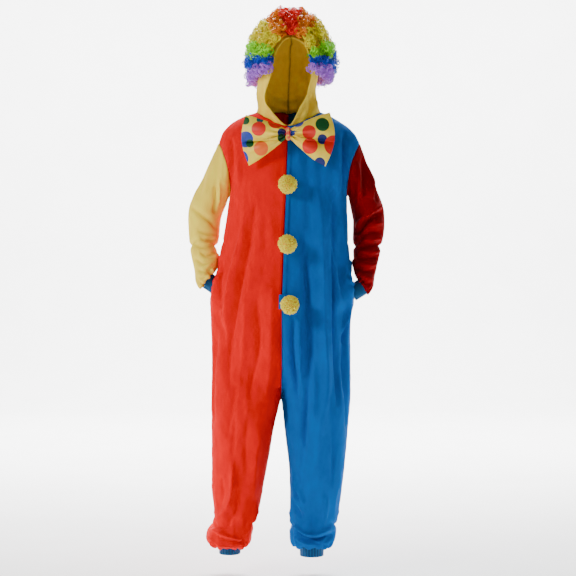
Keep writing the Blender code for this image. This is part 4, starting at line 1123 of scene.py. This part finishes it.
def pocketBag(node, colour):
    bm = outerSide(node, bagWall)
    mesh = subdividedMesh(bm, 2)
    co = points(mesh)
    soft = np.array([noise.noise(Vector(p * 26)) for p in co])
    setPoints(mesh, co - normals(mesh) * (0.0010 * (1 + soft))[:, None])
    obj = addObject(node + "_cloth", mesh, fleece[colour])
    wall = obj.modifiers.new("wall", "SOLIDIFY")
    wall.thickness = bagWall
    wall.offset = -1
    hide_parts(node)
    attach(obj, "root")


pocketBag("pocket_bag_right", "blue")
pocketBag("pocket_bag_left", "blue")
print("pocket bags made")


# backdrop, light and camera

studio = {
    "floorAt": -1.50, "depth": 6.2, "bend": 1.2, "height": 5.0, "halfWidth": 8.0,
    "lens": 88.5, "away": 4.6, "lookX": 0.010, "lookZ": -0.5655,
}


def backdrop():
    bm = bmesh.new()
    low, bend = studio["floorAt"], studio["bend"]
    start = bm.verts.new((-studio["halfWidth"], -6.5, low))
    end = bm.verts.new((studio["halfWidth"], -6.5, low))
    edges = [bm.edges.new((start, end))]
    steps = [(0, studio["depth"] + 6.5, 0)]
    steps += [(0, bend * (math.sin(a1) - math.sin(a0)), bend * (math.cos(a0) - math.cos(a1)))
              for a0, a1 in zip(np.linspace(0, math.pi / 2, 17)[:-1], np.linspace(0, math.pi / 2, 17)[1:])]
    steps += [(0, 0, studio["height"])]
    for step in steps:
        made = bmesh.ops.extrude_edge_only(bm, edges=edges)
        moved = [g for g in made["geom"] if isinstance(g, bmesh.types.BMVert)]
        edges = [g for g in made["geom"] if isinstance(g, bmesh.types.BMEdge)]
        edges = [e for e in edges if all(v in moved for v in e.verts)]
        bmesh.ops.translate(bm, verts=moved, vec=step)
    bmesh.ops.recalc_face_normals(bm, faces=bm.faces[:])
    mat, nodes, links, shader = newMaterial("paperSweep", 0.9, {"Specular IOR Level": 0.1})
    coords = objectCoords(nodes)
    grain = noiseNode(nodes, links, coords, 3, 2)
    links.new(rampNode(nodes, links, grain, [(0.3, (0.90, 0.90, 0.90)), (0.7, (0.93, 0.93, 0.93))]),
              shader.inputs["Base Color"])
    obj = addObject("paperSweep", meshFromBmesh(bm, "paperSweep"), mat)


def areaLight(name, at, toward, size, power, colour=(1, 1, 1)):
    data = bpy.data.lights.new(name, "AREA")
    data.shape = "DISK"
    data.size = size
    data.energy = power
    data.color = colour
    obj = bpy.data.objects.new(name, data)
    bpy.context.scene.collection.objects.link(obj)
    obj.location = at
    obj.rotation_euler = (Vector(toward) - Vector(at)).to_track_quat("-Z", "Y").to_euler()


backdrop()
areaLight("keyLight", (-3.5, -2.6, 1.3), (0, 0, -0.5), 1.0, 132)
areaLight("fillLight", (2.4, -3.6, 0.2), (0, 0, -0.6), 2.4, 9)
areaLight("rimLight", (2.8, 1.2, 0.8), (0.1, 0, -0.4), 1.0, 8)
areaLight("floorLight", (0, 3.2, 3.2), (0, 3.0, -1.5), 3.2, 800)
areaLight("wallLightLeft", (-3.0, 3.4, 2.8), (-0.8, 7.4, -0.4), 2.4, 900)
areaLight("wallLightRight", (3.0, 3.4, 2.8), (0.8, 7.4, -0.4), 2.4, 900)
world = bpy.data.worlds.new("softRoom")
bpy.context.scene.world = world
world.use_nodes = True
world.node_tree.nodes["Background"].inputs["Color"].default_value = (1, 1, 1, 1)
world.node_tree.nodes["Background"].inputs["Strength"].default_value = 0.17

cameraData = bpy.data.cameras.new("camera")
cameraData.lens = studio["lens"]
cameraData.sensor_width = 36
cameraData.clip_end = 60
camera = bpy.data.objects.new("camera", cameraData)
bpy.context.scene.collection.objects.link(camera)
camera.location = (studio["lookX"], -studio["away"], studio["lookZ"])
camera.rotation_euler = (math.pi / 2, 0, 0)
bpy.context.scene.camera = camera
print("studio ready")
